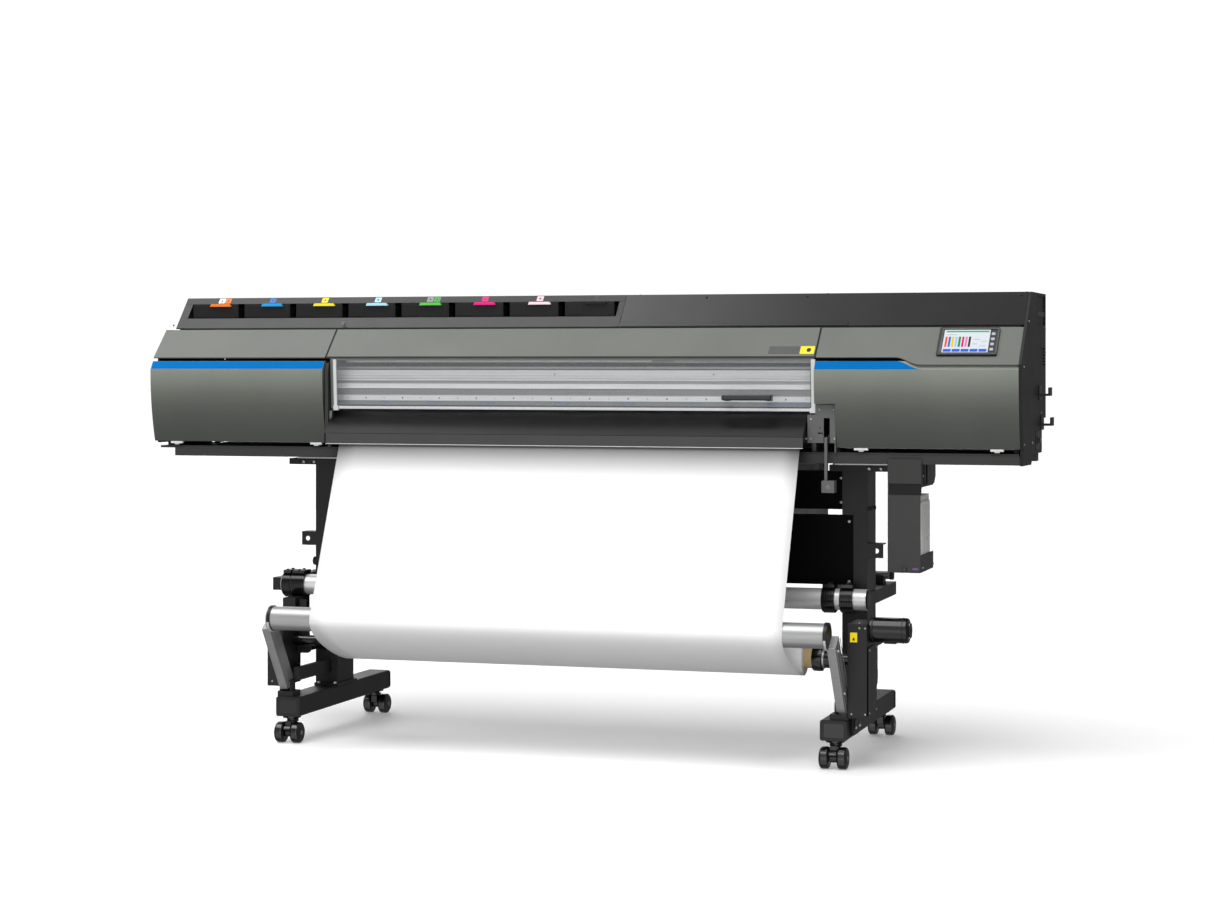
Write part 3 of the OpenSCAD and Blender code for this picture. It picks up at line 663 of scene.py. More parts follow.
def labels():
    """Blank labels on the front cover"""
    plate = Piece("cover_labels", "slope_grey", 0.1, "front_cover")
    for x, look in (((589, 676), LABEL_GREY), ((679, 719), LABEL_YELLOW)):
        plate.solid(rounded(x, (13, 43), 1.5), -0.2, 0.35, on_slope, look)
    plate.solid(rounded((697, 709), (20, 36), 5.9), 0.3, 0.45, on_slope, LABEL_DARK)
    plate.finish()


def window_frame():
    """Light trim along the window's sides and foot, with its corner clips"""
    trim = Piece("window_trim", "rail_silver", 0.5, "front_cover")
    for low, high in ((-718.5, -708.5), (713.4, 725.5)):
        trim.solid([(-2.9, 1111), (4.9, 967), (12, 967), (5, 1111)], low, high, along_x, FRAME_TRIM)
    trim.solid([(8.3, 974.5), (8.9, 966.5), (15.5, 966.5), (15.5, 969), (11, 969.5), (11, 974.5)],
               -712.4, 713.4, along_x, FRAME_TRIM)
    for low, high in ((-720, -704), (709, 727)):
        trim.solid([(3, 976), (3.4, 962), (14, 962), (14, 966.5), (8, 966.5), (8, 976)],
                   low, high, along_x, FRAME_TRIM)
    trim.finish()


def guide_rail():
    """Drawn rail with its grooves and its bands of painted highlight and shade, in place of the plain one,
    and its ruler
    """
    x = span("guide_rail", X)
    back, top = span("guide_rail", Y)[1], span("guide_rail", Z)[1]
    rail = Piece("guide_rail_profile", "rail_silver", 0.25)
    face = 58
    # the front face from its foot up: ledge, ruler, fascia, the face with the painted highlight, ribs, head
    front = [(face, 978), (face, 990), (face - 0.8, 991), (face - 0.8, 1006), (face + 0.8, 1006.6),
             (face + 0.8, 1007.4), (face, 1008), (face, 1024), (face + 2.0, 1025), (face - 1.6, 1026.5),
             (face + 1.2, 1040.5), (face, 1041), (face, 1046.5), (face + 1.5, 1047), (face + 1.5, 1049),
             (face, 1049.5), (face, 1054.5), (face + 1.5, 1055), (face + 1.5, 1057), (face, 1057.5),
             (face, 1063), (face + 1.4, 1064), (face + 0.4, 1080), (face + 6, top - 6), (face + 6, top)]
    rail.solid(front + [(back, top), (back, 1018), (face + 3, 1018), (face + 3, 978)], x[0], x[1],
               along_x, RAIL)
    piece = rail.finish(["guide_rail"])
    # bands of painted highlight and shade on the front face, bottom to top, by the place in Z that each
    # starts at
    bands = [(0, RAIL_SHADED), (990.5, RAIL), (993, RAIL_LIT), (1007, RAIL), (1008, RAIL_SHADED),
             (1024, RAIL), (1027, RAIL_HIGHLIT), (1040, RAIL), (1050, RAIL_LIT), (1081, RAIL)]
    looks = [RAIL, RAIL_HIGHLIT, RAIL_SHADED, RAIL_LIT]
    for look in looks[1:]:
        piece.data.materials.append(look)
    for part in piece.data.polygons:
        if part.normal.y < -0.5:
            band = [look for start, look in bands if part.center.z / MM > start][-1]
            part.material_index = looks.index(band)

    scale = Piece("rail_scale", "rail_silver", 0.1)
    pitch, count = 57.6, 25
    for k in range(count):
        x0 = -696 + k * pitch
        r = 2.2 if k % 2 else 1.6
        scale.turned((x0, face - 0.8, 998.5), FRONT, [(-0.2, r), (0.25, r)],
                     SCALE_MARK if k % 2 else RAIL_SHADED, 14)
        scale.turned((x0 + pitch * 0.42, face, 985), FRONT, [(-0.2, 1.3), (0.25, 1.3)], RAIL_SHADED, 12)
    for stretch in ((-594, -549), (-450, -401), (-284, -235), (-55, -8), (141, 189), (336, 383),
                    (561, 699)):
        scale.solid(corners(stretch, (983, 989.5)), -0.1, 0.3, facing_front(face), LABEL_BLUE)
    for x0, z0 in ((-353, 1043.7), (113, 1043.9), (578, 1044), (-53, 1068), (420, 1068)):
        scale.screw((x0, face, z0), FRONT, 2.4, 1.2)
    scale.finish()

    # painted shade: a dark band over the rail for the shadow under the cover's front edge, darker on the
    # left, with a thin painted highlight along its lip on the left
    head = Piece("painted_shade_and_highlight_strip", "frame_grey", 0.3)
    head.block((-705, 302), (64, 66), (1101, 1109), RAIL_SHADED)
    head.block((302, 705), (64, 66), (1101, 1109), RAIL)
    head.block((-705, 236), (62.5, 64), (1104, 1108.5), FRAME_TRIM)
    head.finish()


# ---- ink trays and panel ----


# colours of the grips, and the squares over each tray with their places along X
GRIP_COLOURS = [srgb(236, 122, 28), srgb(18, 152, 224), srgb(248, 226, 20), srgb(176, 222, 240),
                srgb(92, 200, 74), srgb(226, 16, 128), srgb(246, 222, 230), None]
SQUARES = [[(-1167, grey(240)), (-1147, srgb(236, 122, 28))], [(-998, srgb(38, 108, 190))],
           [(-827, srgb(244, 222, 24))], [(-655, srgb(170, 214, 234))],
           [(-488, srgb(140, 142, 144)), (-466, srgb(62, 160, 66))], [(-315, srgb(214, 24, 122))],
           [(-144, srgb(238, 190, 206))], [(35, grey(70))]]


def trays():
    """Coloured grip tabs on the trays, and the squares over them on the housing's strip"""
    strip = Piece("tray_squares", "frame_grey", 0.1)
    for i, tray in enumerate(TRAYS):
        low, high = span(tray, X)
        middle = (low + high) / 2 + 19
        if GRIP_COLOURS[i]:
            look = moulded("grip_%d" % (i + 1), GRIP_COLOURS[i], 0.38, 0.03)
            tab = Piece("tray_grip_%d" % (i + 1), "tray_plastic", 0.5, tray)
            tab.solid([(middle - 35, 1270.5), (middle + 35, 1270.5), (middle + 31, 1278.4),
                       (middle - 31, 1278.4)], -8.0, 1.0, facing_front(120), look)
            tab.finish()
        face = Piece("tray_front_%d" % (i + 1), "tray_plastic", 0.5, tray)
        for x in ((low + 4, middle - 42), (middle + 40, high - 4)):
            face.solid(rounded(x, (1240, 1274), 2), -0.4, 0.9, facing_front(128), TRAY)
        face.finish()
        for x, colour in SQUARES[i]:
            look = printed("square_%d_%d" % (i + 1, abs(x)), colour)
            size = 20 if i < 7 else 10
            strip.solid(rounded((x, x + size), (2.5, 22), 1.5), -0.2, 0.4, on_strip, look)
            strip.solid(rounded((x + size * 0.35, x + size * 0.65), (9, 15), 2), 0.3, 0.5, on_strip,
                        LABEL_GREY)
    strip.finish()


def touch_screen():
    """The panel's picture, without any lettering: bar, tank levels, buttons and a dark column"""
    white = lit("screen_white", srgb(222, 228, 236), 0.72)
    column = lit("screen_column", srgb(70, 72, 74), 0.4)
    green = lit("screen_green", srgb(56, 170, 110), 0.8)
    screen = Piece("screen_picture", "screen_glass", 0.05)
    back, front = 5.1, 5.5

    def patch(outline, look):
        screen.solid(outline, front, front + 0.2, on_slope, look)

    screen.solid(corners((1075, 1201), (13, 101)), back, front, on_slope, white)
    screen.solid(corners((1201, 1219.4), (13, 101)), back, front, on_slope, column)
    patch(corners((1080, 1198), (91, 97)), green)
    colours = [(236, 78, 22), (20, 110, 200), (240, 190, 10), (150, 200, 226), (20, 130, 50),
               (216, 10, 110), (232, 120, 170), (30, 30, 32)]
    for i, colour in enumerate(colours):
        x = 1080 + i * 9.2
        patch(corners((x, x + 6), (34, 74)), lit("screen_level_%d" % (i + 1), srgb(*colour), 0.8))
    blue = lit("screen_blue", srgb(24, 92, 214), 0.8)
    for i in range(5):
        x = 1078 + i * 24.4
        patch(rounded((x, x + 22), (15, 26), 1.5, 3), blue)
    pale = lit("screen_grey", srgb(190, 196, 204), 0.7)
    for i in range(4):
        patch(rounded((1205, 1215), (20 + 20 * i, 30 + 20 * i), 2, 3), pale)
    for a, b in (((1084, 1110), (80, 83)), ((1156, 1176), (62, 65)), ((1180, 1194), (54, 57)),
                 ((1156, 1170), (44, 47)), ((1176, 1192), (36, 39))):
        patch(corners(a, b), pale)
    screen.finish()
    glass = Piece("screen_bezel", "black_plastic", 0.6)
    wide, opening = (1067, 1226), (11.6, 102.6)
    for a, b in ((wide, (6, opening[0])), (wide, (opening[1], 108.5)),
                 ((wide[0], 1073.6), opening), ((1220.6, wide[1]), opening)):
        glass.solid(corners(a, b), 5.8, 7.2, on_slope, GLOSSY)
    glass.finish()


# ---- media ----


def web_outline():
    """The web's middle line in Y and Z, from the platen's rear edge to the wound roll"""
    rear, front, height = 298, 60, 950.7
    on, off = (156.4, 205), (262, 272)
    line = [(rear + 20, 560 + 370 * k / 6) for k in range(7)]
    line += arc(rear, height - 20, 20, 10, 90, 8)
    line += [(rear + (front - rear) * k / 5, height) for k in range(1, 5)]
    line += arc(front, height - 100, 100, 90, 160, 14)
    line += [(-44, 866)]
    round_tube = arc(TUBE_Y, TUBE_Z, 34.7, on[0], on[1], 12)
    round_roll = arc(ROLL_Y, ROLL_Z, 48.7, off[0], off[1], 3)
    steps = 20
    a, b = line[-1], round_tube[0]
    line += [(a[0] + (b[0] - a[0]) * k / steps, a[1] + (b[1] - a[1]) * k / steps) for k in range(1, steps)]
    line += round_tube
    # it leaves the tube in a soft belly and rises on to the roll, along a cubic curve
    start, end = Vector(line[-1]), Vector(round_roll[0])
    leaving, arriving = (Vector((-math.sin(t), math.cos(t))) for t in map(math.radians, (on[1], off[0])))
    near, far = start + leaving * 58, end - arriving * 70
    for k in range(1, steps):
        t = k / steps
        u = 1 - t
        line.append(tuple(start * u ** 3 + near * 3 * t * u ** 2 + far * 3 * t * t * u + end * t ** 3))
    return line + round_roll


def media_web():
    """The film as one thin closed sheet along its path"""
    line = web_outline()
    left, right = span("media_web", X)
    half, across = 0.3, 24
    web = Piece("media_sheet", "media_white", 0.05)
    faces, rows = [], []
    for i, (y, z) in enumerate(line):
        before, after = Vector(line[max(i - 1, 0)]), Vector(line[min(i + 1, len(line) - 1)])
        run = (after - before).normalized()
        normal = Vector((-run.y, run.x)) * half
        row = []
        for side in (1, -1):
            row.append([web.mesh.verts.new(at(left + (right - left) * k / across, y + side * normal.x,
                                              z + side * normal.y)) for k in range(across + 1)])
        rows.append(row)
    for a, b in zip(rows, rows[1:]):
        for side in (0, 1):
            for k in range(across):
                faces.append(web.mesh.faces.new([a[side][k], a[side][k + 1], b[side][k + 1], b[side][k]]))
        for k in (0, across):
            faces.append(web.mesh.faces.new([a[0][k], b[0][k], b[1][k], a[1][k]]))
    for row in (rows[0], rows[-1]):
        for k in range(across):
            faces.append(web.mesh.faces.new([row[0][k], row[0][k + 1], row[1][k + 1], row[1][k]]))
    web.paint(faces, WEB)
    piece = web.finish(["media_web"])
    piece.modifiers.clear()


# ---- stand ----


def ordered(s, a, b):
    """A stretch along X on side s, from its lower to its higher end"""
    return (s * a, s * b) if s > 0 else (s * b, s * a)


def stand_fittings():
    """Bolts, plugs and edges on the stand's legs"""
    for s, side in SIDES.items():
        kit = Piece("leg_fittings_" + side, "stand_grey", 0.5)
        for y, axis, place in ((BEAM_Y[0], FRONT, facing_front), (BEAM_Y[1], BACK, facing_back)):
            kit.solid(rounded(ordered(s, BEAM[0] + 1, BEAM[1] - 1), (77.8, 132.2), 7), -1, 2.4,
                      place(y), PLASTIC)
            kit.solid(rounded(ordered(s, BEAM[0] + 9, BEAM[1] - 9), (86, 124), 5), 2, 3.2,
                      place(y), GLOSSY)
        for x in (BEAM[0] + 10, BEAM[1] - 10):
            for y in (153, 287):
                kit.screw((s * x, y, 141.2), UP, 5.5, 4.5, ZINC)
        for z in (485, 654.6):
            kit.screw((s * 787.6, 157, z), FRONT, 4.6, 2.4)
        for z in (706, 775):
            kit.screw((s * 755, 200, z), FRONT, 4.6, 2.4)
        for x in (846, 880):
            kit.screw((s * x, 150, 804), FRONT, 5.2, 3.4)
        for y, z in ((190, 300), (250, 300), (190, 690), (250, 690)):
            kit.screw((s * COLUMN_SIDE, y, z), (s, 0, 0), 6, 4, PLASTIC)
        kit.block(ordered(s, 748, 899), (147.6, 150.3), (814.2, 817.6), ZINC)
        kit.block(ordered(s, 893, 906), (148, 150.3), (796, 813), PLASTIC)
        kit.screw((s * 880, 160, 582), FRONT, 2.6, 1.6, PLASTIC)
        # nut and washer of the tension arm's pivot
        kit.turned((s * COLUMN_SIDE, PIVOT_Y, PIVOT_Z), (s, 0, 0), [(-1, 14), (1, 14), (1.3, 12.5)],
                   ZINC, 24)
        kit.turned((s * 843, PIVOT_Y, PIVOT_Z), (s, 0, 0), [(-0.5, 9.5), (5, 9.5), (6, 8.2)],
                   WHITE_PLASTIC, 6)
        kit.finish()


def rail_fittings():
    """Ribbed clamps on the stand's round rail, and the rail's end rings"""
    kit = Piece("rail_clamps", "stand_grey", 0.5)
    for low, high in ((728, 762), (780, 814), (-915, -890), (-886, -846)):
        width = high - low
        ribs = [(-0.4, 31), (-0.4, 36.6)]
        count = round(width / 7)
        for k in range(count):
            a = width * k / count
            end = a + width / count
            ribs += [(a + 0.6, 38.6), (end - 2.2, 38.6), (end - 1.6, 36.6), (end - 0.2, 36.6)]
        ribs += [(width + 0.4, 36.6), (width + 0.4, 31)]
        kit.turned((low, RAIL_Y, RAIL_Z), RIGHT, ribs, GLOSSY, 40)
        middle = (low + high) / 2
        kit.block((low + 1, high - 1), (RAIL_Y - 25, RAIL_Y + 25), (RAIL_Z + 34, RAIL_Z + 43), GLOSSY)
        for y in (RAIL_Y - 18, RAIL_Y + 18):
            kit.screw((middle, y, RAIL_Z + 43), UP, 4.4, 3.4, PLASTIC)
    kit.turned((-919, RAIL_Y, RAIL_Z), LEFT, [(-7, 30.6), (-7, 32), (1.2, 32), (1.6, 31), (1.6, 27)],
               TUBE, 40)
    kit.turned((-919, RAIL_Y, RAIL_Z), LEFT, [(-3, 26.5), (0.8, 26.5), (1, 24)], PLASTIC, 32)
    kit.turned((854, RAIL_Y, RAIL_Z), RIGHT, [(-3, 26.9), (1.2, 29.6), (2, 28)], PLASTIC, 32)
    kit.finish()


def tension_fittings():
    """Bright cradles round the tension tube's ends, and the arms' lengthwise grooves"""
    reach = Vector((TUBE_Y - PIVOT_Y, TUBE_Z - PIVOT_Z))
    lean = math.degrees(math.atan2(reach.y, reach.x))
    run = reach.normalized()

    def on_arm(along, across, x):
        return at(x, PIVOT_Y + run.x * along - run.y * across, PIVOT_Z + run.y * along + run.x * across)

    for s, side in SIDES.items():
        kit = Piece("tension_fittings_" + side, "rail_silver", 0.4, "tension_bar")
        cradle = arc(TUBE_Y, TUBE_Z, 39.4, lean + 70, lean + 290, 28)
        cradle += arc(TUBE_Y, TUBE_Z, 36.4, lean + 290, lean + 70, 28)
        kit.solid(cradle, s * 805, s * 811.4, along_x, FRAME_TRIM)
        kit.turned((s * 803.4, TUBE_Y, TUBE_Z), (s, 0, 0), [(0, 33), (0, 36.6), (9.9, 36.6), (10.4, 20)],
                   PLASTIC, 40)
        # the channel's lips and its middle rib
        length = reach.length - 24
        for across in (22.4, 3, -26.2):
            kit.solid(corners((2, length), (across, across + 3.6)), s * 835.6, s * 836.7, on_arm, TUBE)
        for along in (60, length - 16):
            centre = on_arm(along, 13, s * 836) - ORIGIN
            kit.screw(tuple(c / MM for c in centre), (s, 0, 0), 4.2, 2.4, ZINC)
        kit.finish()


def takeup_fittings():
    """Drive box, motor, idle side and the wound roll's ends"""
    front, side = -107, 895.5
    drive = Piece("takeup_drive_fittings", "stand_grey", 0.5)
    drive.solid(rounded((845, 892.5), (142, 391), 5), -0.5, 1.2, facing_front(front), STAND)
    drive.solid(rounded((846.5, 866), (345, 371), 1), 1.0, 1.6, facing_front(front), LABEL_YELLOW)
    drive.solid([(852, 350), (861, 350), (856.5, 359)], 1.5, 1.8, facing_front(front), LABEL_DARK)
    for x, z in ((850, 150), (887.5, 150), (887.5, 383), (872, 383)):
        drive.screw((x, -108.2, z), FRONT, 2.8, 1.8)
    drive.solid(rounded((-101, 7), (144, 330), 8), -0.5, 1.4, facing_right(side), STAND)
    for y, z in ((-94, 152), (0, 152), (0, 322), (-94, 322)):
        drive.screw((896.9, y, z), RIGHT, 3, 1.8)
    drive.screw((869, -90, 395), UP, 3, 1.8)
    drive.solid(rounded((-64, -30), (100, 128), 4), -0.3, 1.4, facing_right(850), STAND)
    for y in (-52, 2):
        drive.screw((850, y, 106), RIGHT, 5, 3.4, ZINC)
    drive.finish()
    motor = Piece("takeup_motor_fittings", "black_plastic", 0.4)
    motor.turned((side, MOTOR_Y, MOTOR_Z), RIGHT, [(0.5, 30), (0.5, 36), (6, 36), (6.6, 35)], PLASTIC, 40)
    motor.turned((980, MOTOR_Y, MOTOR_Z), RIGHT, [(0, 34.2), (0.4, 35.2), (2.6, 35.2), (3, 34.2)],
                 PLASTIC, 40)
    motor.turned((1000.5, MOTOR_Y, MOTOR_Z), RIGHT,
                 [(-1, 20), (1.2, 20), (1.8, 18.6), (1.2, 9), (2.4, 8.4)], PLASTIC, 32)
    for k in range(4):
        t = math.radians(45 + 90 * k)
        motor.screw((1000.4, MOTOR_Y + 24.5 * math.cos(t), MOTOR_Z + 24.5 * math.sin(t)), RIGHT,
                    1.9, 1.2)
    motor.block((930, 962), (-58, -36), (337.6, 342), PLASTIC)
    motor.finish()
    idle = Piece("takeup_idle_fittings", "black_plastic", 0.5)
    swing = [(-846, 400), (-823, 400), (-825, 380), (-815, 309), (-808, 258)]
    swing += arc(-822, 256, 14, -5, -90, 6) + [(-846, 242)]
    idle.solid(swing, -48, -43, facing_front(0), PLASTIC)
    idle.solid(corners((-830, -816), (322, 334)), -43.2, -42.6, facing_front(0), LABEL_WHITE)
    idle.turned((-862, -65, 248), FRONT,
                [(-0.5, 8), (4, 8), (4.4, 14.6), (7, 16), (17, 16), (19, 14), (19.4, 8)], GLOSSY, 12)
    idle.solid(rounded((-892, -850), (160, 326), 4), -0.4, 1.1, facing_front(-65), PLASTIC)
    for z in (170, 316):
        idle.screw((-883, -66.1, z), FRONT, 2.8, 1.8)
    idle.solid(rounded((-60, 55), (162, 324), 6), -0.4, 1.2, facing_left(-896), PLASTIC)
    for y, z in ((-50, 172), (45, 172), (45, 314), (-50, 314)):
        idle.screw((-897.2, y, z), LEFT, 3, 1.8)
    idle.finish()
    ends = Piece("roll_ends", "media_white", 0.05, "takeup")
    low, high = span("takeup_roll", X)
    for x, out in ((low, LEFT), (high, RIGHT)):
        rings = [(-1.0, 47.4)]
        for k in range(12):
            rings += [(0.35, 47.0 - k * 1.5), (0.05, 46.1 - k * 1.5)]
        ends.turned((x, ROLL_Y, ROLL_Z), out, rings, WOUND, 56)
    ends.finish()
    spools = Piece("spool_grips", "black_plastic", 0.5, "takeup")
    for x, out in ((720, RIGHT), (-702, LEFT)):
        spools.turned((x, ROLL_Y, ROLL_Z), out,
                      [(1, 33), (1, 35.4), (6, 36.2), (18, 36.2), (23, 35.4), (23, 33)], GLOSSY, 14)
        spools.turned((x, ROLL_Y, ROLL_Z), out,
                      [(24, 20), (24, 27.6), (29, 27.6), (31, 26.2), (31, 20)], STEEL, 32)
    spools.turned((-908, ROLL_Y, ROLL_Z), LEFT,
                  [(-14, 18), (-14, 20.4), (-2, 20.4), (1, 18.4), (1.4, 6)], GLOSSY, 10)
    spools.finish()


def casters():
    """Hub caps and rims on the twin wheels, hoods on their forks"""
    for c in CORNERS:
        low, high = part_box("caster_wheels_" + c)
        middle = ((low + high) / 2 - ORIGIN) / MM
        hub = Piece("caster_hubs_" + c, "caster_plastic", 0.3, "wheels_" + c)
        for s in (-1, 1):
            out = (s, 0, 0)
            outer = (middle.x + s * (high.x - low.x) / MM / 2, middle.y, 30)
            inner = (middle.x + s * 12, middle.y, 30)
            hub.turned(outer, out, [(-2, 25), (0.5, 25), (0.9, 24), (-0.2, 22.6), (0.2, 17.5), (1.2, 15),
                                    (1.4, 8)], PLASTIC, 32)
            hub.turned(outer, out, [(0.8, 7), (2.2, 7), (3, 5.4), (3.2, 2)], GREY_PLASTIC, 20)
            hub.turned(inner, out, [(-0.6, 18), (-0.6, 23), (0.6, 23)], GLOSSY, 28)
        hub.finish()
        toward = 1 if c[0] == "r" else -1
        hood = Piece("caster_hood_" + c, "caster_plastic", 0.5, "caster_" + c)
        shell = arc(middle.y, 30, 24, 20, 160, 12) + arc(middle.y, 30, 19, 160, 20, 12)
        hood.solid(shell, middle.x - 9.6, middle.x + 9.6, along_x, GLOSSY)
        hood.turned((middle.x, middle.y - toward * 24, 56), UP,
                    [(0, 13), (4, 17), (11, 17), (13, 15)], GLOSSY, 28)
        hood.finish()


# ---- under the body ----


def bottle_fittings():
    """Bands and screws on the bottle's housing, ribs and a level scale on the bottle"""
    kit = Piece("bottle_housing_fittings", "stand_grey", 0.4)
    front, wide = facing_front(0), (931.4, 1021.6)
    kit.solid(corners(wide, (771, 838)), -0.3, 1.4, front, HOUSING)
    # painted shade: a near-black band in the recess between the upper band and the box
    kit.solid(corners(wide, (740, 771)), -0.3, 0.3, front, SHADE_INSIDE)
    kit.solid(rounded((934, 1019), (531, 738), 3), -0.3, 1.0, front, BOX)
    kit.solid(corners((997, 1013), (535, 541)), 0.9, 1.3, front, LABEL_PURPLE)
    kit.turned((976, 0, 536), FRONT, [(0.5, 4), (4, 4), (4.4, 6), (9, 6), (10, 5)], GLOSSY, 20)
    for y, z in ((20, 540), (28, 792), (180, 540), (176, 792)):
        kit.screw((1022, y, z), RIGHT, 3, 1.8)
    for z in (560, 700, 800):
        kit.screw((931, 100, z), LEFT, 3, 1.8)
    kit.solid([(64, 848), (188, 848), (188, 786), (168, 766), (64, 766)], -0.2, 1.4,
              facing_right(1026), PLASTIC)
    kit.finish()
    bottle = Piece("bottle_fittings", "bottle_plastic", 0.8, "waste_bottle")
    for place in (facing_right(1014), facing_left(940)):
        bottle.solid(rounded((32, 168), (548, 720), 10), -0.6, 0.9, place, BOTTLE)
        bottle.solid(rounded((50, 150), (570, 640), 6), 0.7, 1.3, place, BOTTLE)
        for k in range(6):
            z = 566 + 26 * k
            bottle.solid(corners((154, 164 - 4 * (k % 2)), (z, z + 1.6)), 0.7, 1.2, place, LABEL_GREY)
    bottle.turned((977, 100, 752), UP, [(0, 26), (0.5, 27), (5, 27), (6.4, 25.6), (6.4, 15)], PLASTIC, 24)
    bottle.turned((977, 100, 736), UP, [(-0.5, 25), (3, 24.4), (3.4, 22.4)], BOTTLE, 28)
    bottle.finish()


def apron_fittings():
    """The apron's brighter lip and its end screws"""
    kit = Piece("apron_lip", "frame_grey", 0.4)
    kit.block((-720, 702), (-51, -49.7), (866.5, 896), APRON_LIP)
    kit.block((-720, 702), (-52.4, -46.8), (865.2, 867), FRAME_TRIM)
    for s, x in ((-1, -722), (1, 704)):
        for y, z in ((-20, 892), (40, 930)):
            kit.screw((x, y, z), (s, 0, 0), 3, 1.8)
    kit.block((-740, -723), (-1, 3), (918, 961), GREY_PLASTIC)
    for z in (950, 929):
        kit.screw((-731.5, -1, z), FRONT, 2.4, 1.6)
    kit.finish()


def lever_fittings():
    """The loading lever's grip and its bracket's screws"""
    grip = Piece("lever_grip", "steel", 1.6, "loading_lever")
    grip.block((750.8, 785.2), (-29.4, 1.2), (743.8, 777), ARM)
    grip.turned((768, -29.4, 760), FRONT, [(-0.5, 6.4), (0.6, 6.4), (0.9, 5.4), (0.3, 3)], GREY_PLASTIC, 20)
    grip.screw((769, 50, 890), RIGHT, 6, 3, ZINC)
    grip.finish()
    kit = Piece("lever_bracket_fittings", "frame_grey", 0.3)
    for x, z in ((714, 892), (714, 946), (738, 972), (778, 972), (780, 892)):
        kit.screw((x, -2, z), FRONT, 2.6, 1.6)
    # painted shade: the bracket's slot and hole, as near-black patches
    kit.solid(rounded((733, 748), (905, 909), 1.8), -0.2, 0.4, facing_front(-2), SHADE_INSIDE)
    kit.turned((740, -2, 922), FRONT, [(-0.3, 2), (0.4, 2)], SHADE_INSIDE, 14)
    kit.block((754, 769), (-1, 0.2), (949.4, 950.6), FRAME_TRIM)
    kit.finish()


# ---- covers from all sides ----


def cover_screws():
    """Screws that hold the covers at the sides, the back and the top"""
    kit = Piece("cover_screws", "cover_grey", 0.2)
    left, right = span("side_covers", X)
    for y, z in ((30, 880), (190, 880), (366, 960), (452, 1130), (24, 1090), (120, 1215), (452, 1200)):
        kit.screw((right, y, z), RIGHT, 3.4, 2)
        kit.screw((left, y, z), LEFT, 3.4, 2)
    back = span("back_cover", Y)[1]
    for k in range(9):
        for y, z in ((back, 1182), (back, 956), (382, 866)):
            kit.screw((-1270 + 2540 * k / 8, y, z), BACK, 3.4, 2)
    top_back = span("rear_top_cover", Y)[1]
    for k in range(5):
        kit.screw((180 + 265 * k, top_back, 1282), BACK, 3.2, 2)
        kit.screw((-1230 + 310 * k, top_back, 1282), BACK, 3.2, 2)
    for x in (370, 665, 1270):
        kit.screw(tuple(c / MM for c in on_strip(x, 12, 0) - ORIGIN), (0, -0.74, 0.67), 3.2, 2, PLASTIC)
    for x in (160, 715, 1278):
        for y in (210, 440):
            kit.screw((x, y, 1298), UP, 3.2, 1.6, PLASTIC)
    kit.turned((-725.2, 92.5, 1216.6), FRONT, [(-1, 6.4), (3, 6.4), (5, 5)], GREY_PLASTIC, 20)
    kit.finish()


def vents():
    """Louvres in the back cover and over the electronics; their slots are near-black patches of painted
    shade
    """
    kit = Piece("back_vents", "black_cover", 0.3)
    back = span("back_cover", Y)[1]
    for x in (-1120, -640, 560, 1040):
        for k in range(9):
            z = 1010 + k * 16
            kit.solid(rounded((x - 80, x + 80), (z, z + 6), 2.8, 4), -0.3, 0.35, facing_back(back), SHADE_INSIDE)
            kit.solid(corners((x - 78, x + 78), (z + 5.4, z + 6.8)), -0.3, 1.3, facing_back(back), BLACK)
    top_back = span("rear_top_cover", Y)[1]
    for x in (420, 980):
        for k in range(5):
            z = 1214 + k * 12
            kit.solid(rounded((x - 110, x + 110), (z, z + 5), 2.4, 4), -0.3, 0.35,
                      facing_back(top_back), SHADE_INSIDE)
    kit.block((-20, 20), (back - 1, back + 0.8), (1060, 1086), LABEL_WHITE)
    kit.finish()
    side = Piece("side_vents", "black_cover", 0.3)
    left, right = span("side_covers", X)
    for k in range(6):
        z = 1094 + 9 * k
        side.solid(rounded((362, 446), (z, z + 4), 1.8, 4), -0.3, 0.4, facing_left(left), SHADE_INSIDE)
        side.solid(corners((363, 445), (z + 3.8, z + 5.2)), -0.5, 1.2, facing_right(right), BLACK)
        side.solid(corners((363, 445), (z + 3.8, z + 5.2)), -0.5, 1.2, facing_left(left), BLACK)
    # grip of the side recess, and pins of the mains inlet
    side.solid(rounded((300, 442), (1232, 1246), 6), -4.6, -1.2, facing_right(right), PLASTIC)
    for y, z in ((270, 882), (276, 886), (282, 882)):
        side.turned((right - 9, y, z), RIGHT, [(0, 1.3), (6.4, 1.3), (7, 0.9)], ZINC, 12)
    side.solid(rounded((327, 341), (878, 890), 2), 1.3, 2.6, facing_right(right), GLOSSY)
    side.finish()


def rear_fittings():
    """Flange bosses, hub ribs and lock of the supply shaft, seen from behind"""
    kit = Piece("supply_fittings", "steel", 0.4, "supply_shaft")
    y, z = SUPPLY_Y, SUPPLY_Z
    for s in (-1, 1):
        out = (s, 0, 0)
        kit.turned((s * 700, y, z), out,
                   [(-0.6, 60), (-0.6, 85), (0.6, 86.2), (17, 86.2), (18.6, 85), (18.6, 60)], GLOSSY, 48)
        kit.turned((s * 718, y, z), out, [(-0.5, 34), (9, 34), (11, 31), (11, 18)], PLASTIC, 14)
        for k in range(6):
            t = math.radians(60 * k)
            kit.turned((s * 718, y + 58 * math.cos(t), z + 58 * math.sin(t)), out,
                       [(-0.5, 12), (0.9, 12), (0.5, 9)], PLASTIC, 20)
    for x, out in ((-985, LEFT), (852, RIGHT)):
        kit.turned((x, y, z), out, [(-8, 11.8), (-8, 13.6), (1, 13.6), (2, 12)], PLASTIC, 20)
    kit.finish()


# ---- inside ----


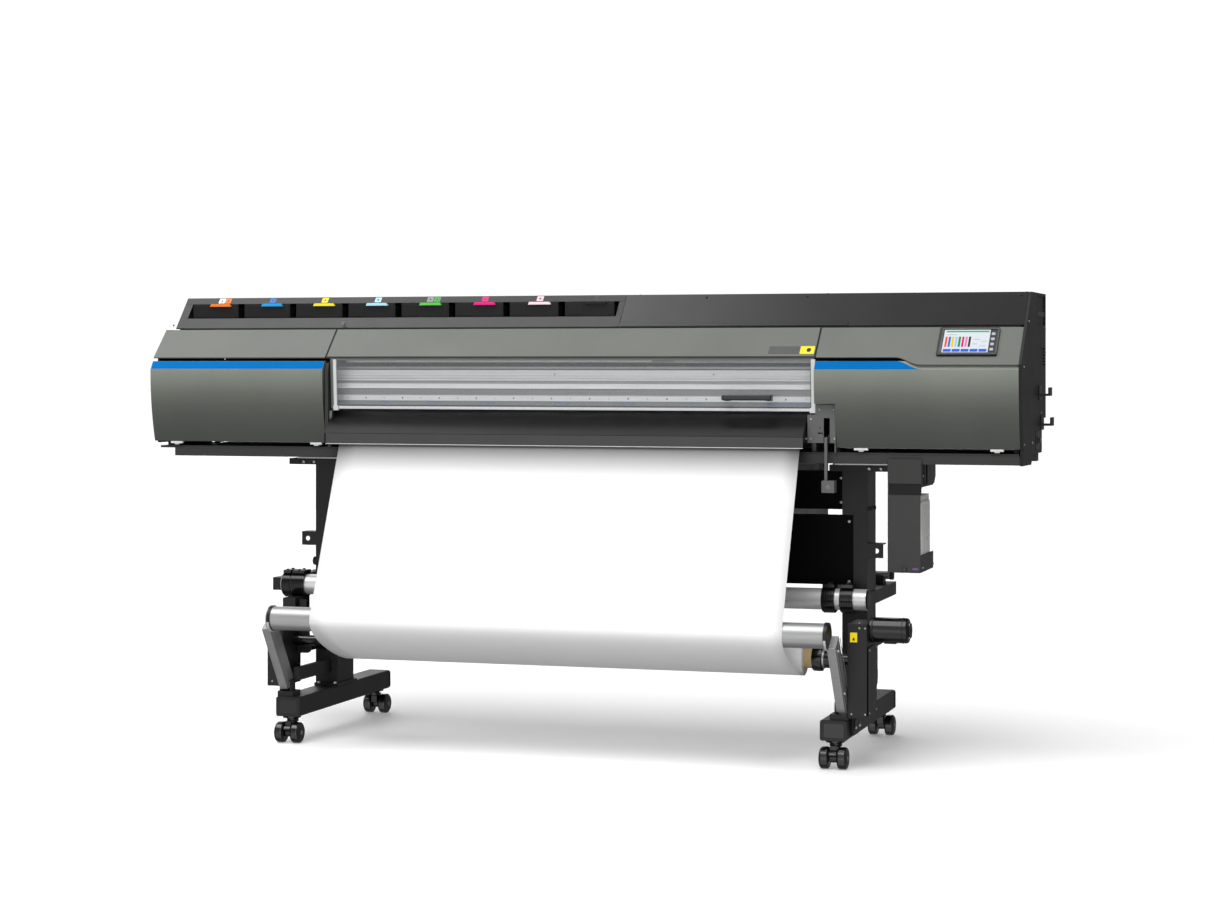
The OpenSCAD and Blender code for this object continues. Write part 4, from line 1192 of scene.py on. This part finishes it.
def carriages():
    """Faces of the two carriages, with dampers, screws and the print heads' plates"""
    head = Piece("print_carriage_fittings", "black_plastic", 0.6, "print_carriage")
    head.solid(rounded((856, 1084), (980, 1088), 6), -0.5, 1.6, facing_front(20), GLOSSY)
    head.solid(rounded((884, 1056), (1018, 1066), 4), 1.4, 2.2, facing_front(20), GREY_PLASTIC)
    head.solid(corners((872, 1068), (994, 999)), 1.4, 2.0, facing_front(20), STRIPE)
    for x in (866, 1074):
        for z in (988, 1080):
            head.screw((x, 18.4, z), FRONT, 2.8, 1.4)
    for k in range(8):
        head.block((862 + 28 * k, 880 + 28 * k), (26, 48), (1098.6, 1103), WHITE_PLASTIC)
    for i in range(2):
        head.block((884 + 100 * i, 946 + 100 * i), (27, 47), (969.2, 970.4), STEEL)
    head.finish()
    cut = Piece("cut_carriage_fittings", "black_plastic", 0.5, "cut_carriage")
    cut.solid(rounded((-986, -890), (992, 1088), 5), -0.5, 1.5, facing_front(30), PLASTIC)
    cut.turned((-930, 28.5, 1040), FRONT, [(0, 12), (5, 12), (6, 11), (6, 5)], GREY_PLASTIC, 14)
    cut.screw((-868, 24, 1015), FRONT, 4, 6)
    for z in (1000, 1080):
        cut.screw((-978, 28.5, z), FRONT, 2.6, 1.4)
    cut.finish()


def feed_fittings():
    """Springs over the pinch rollers, their rubber rings and the grit bands"""
    bar = Piece("pinch_springs", "steel", 0.3, "pinch_bar")
    rings = Piece("pinch_rings", "roller_rubber", 0.3, "pinch_rollers")
    grit = Piece("grit_bands", "steel", 0.1, "grit_roller")
    for k in range(9):
        x = (k - 4) * 155
        bar.turned((x, PINCH_Y, 1011), UP,
                   [(0, 7), (1.5, 8), (3, 6.4), (4.5, 8), (6, 6.4), (7.5, 8), (9, 6)], STEEL, 20)
        bar.solid(corners((x - 19, x + 19), (995, 1007)), -0.3, 0.8, facing_front(138), GREY_PLASTIC)
        for s in (-1, 1):
            rings.turned((x + s * 11, PINCH_Y, 959.4), (s, 0, 0), [(-0.6, 4), (0.3, 4.4), (0.5, 3)],
                         STEEL, 16)
        grit.turned((x - 17, PINCH_Y, 939), RIGHT,
                    [(0, 11.05), (0.4, 11.12), (33.6, 11.12), (34, 11.05)], RUBBER, 32)
    bar.finish()
    rings.finish()
    grit.finish()


for make in (stripes, latches, seams, labels, window_frame, guide_rail, trays, touch_screen, media_web,
             stand_fittings, rail_fittings, tension_fittings, takeup_fittings, casters, bottle_fittings,
             apron_fittings, lever_fittings, cover_screws, vents, rear_fittings, carriages,
             feed_fittings):
    make()
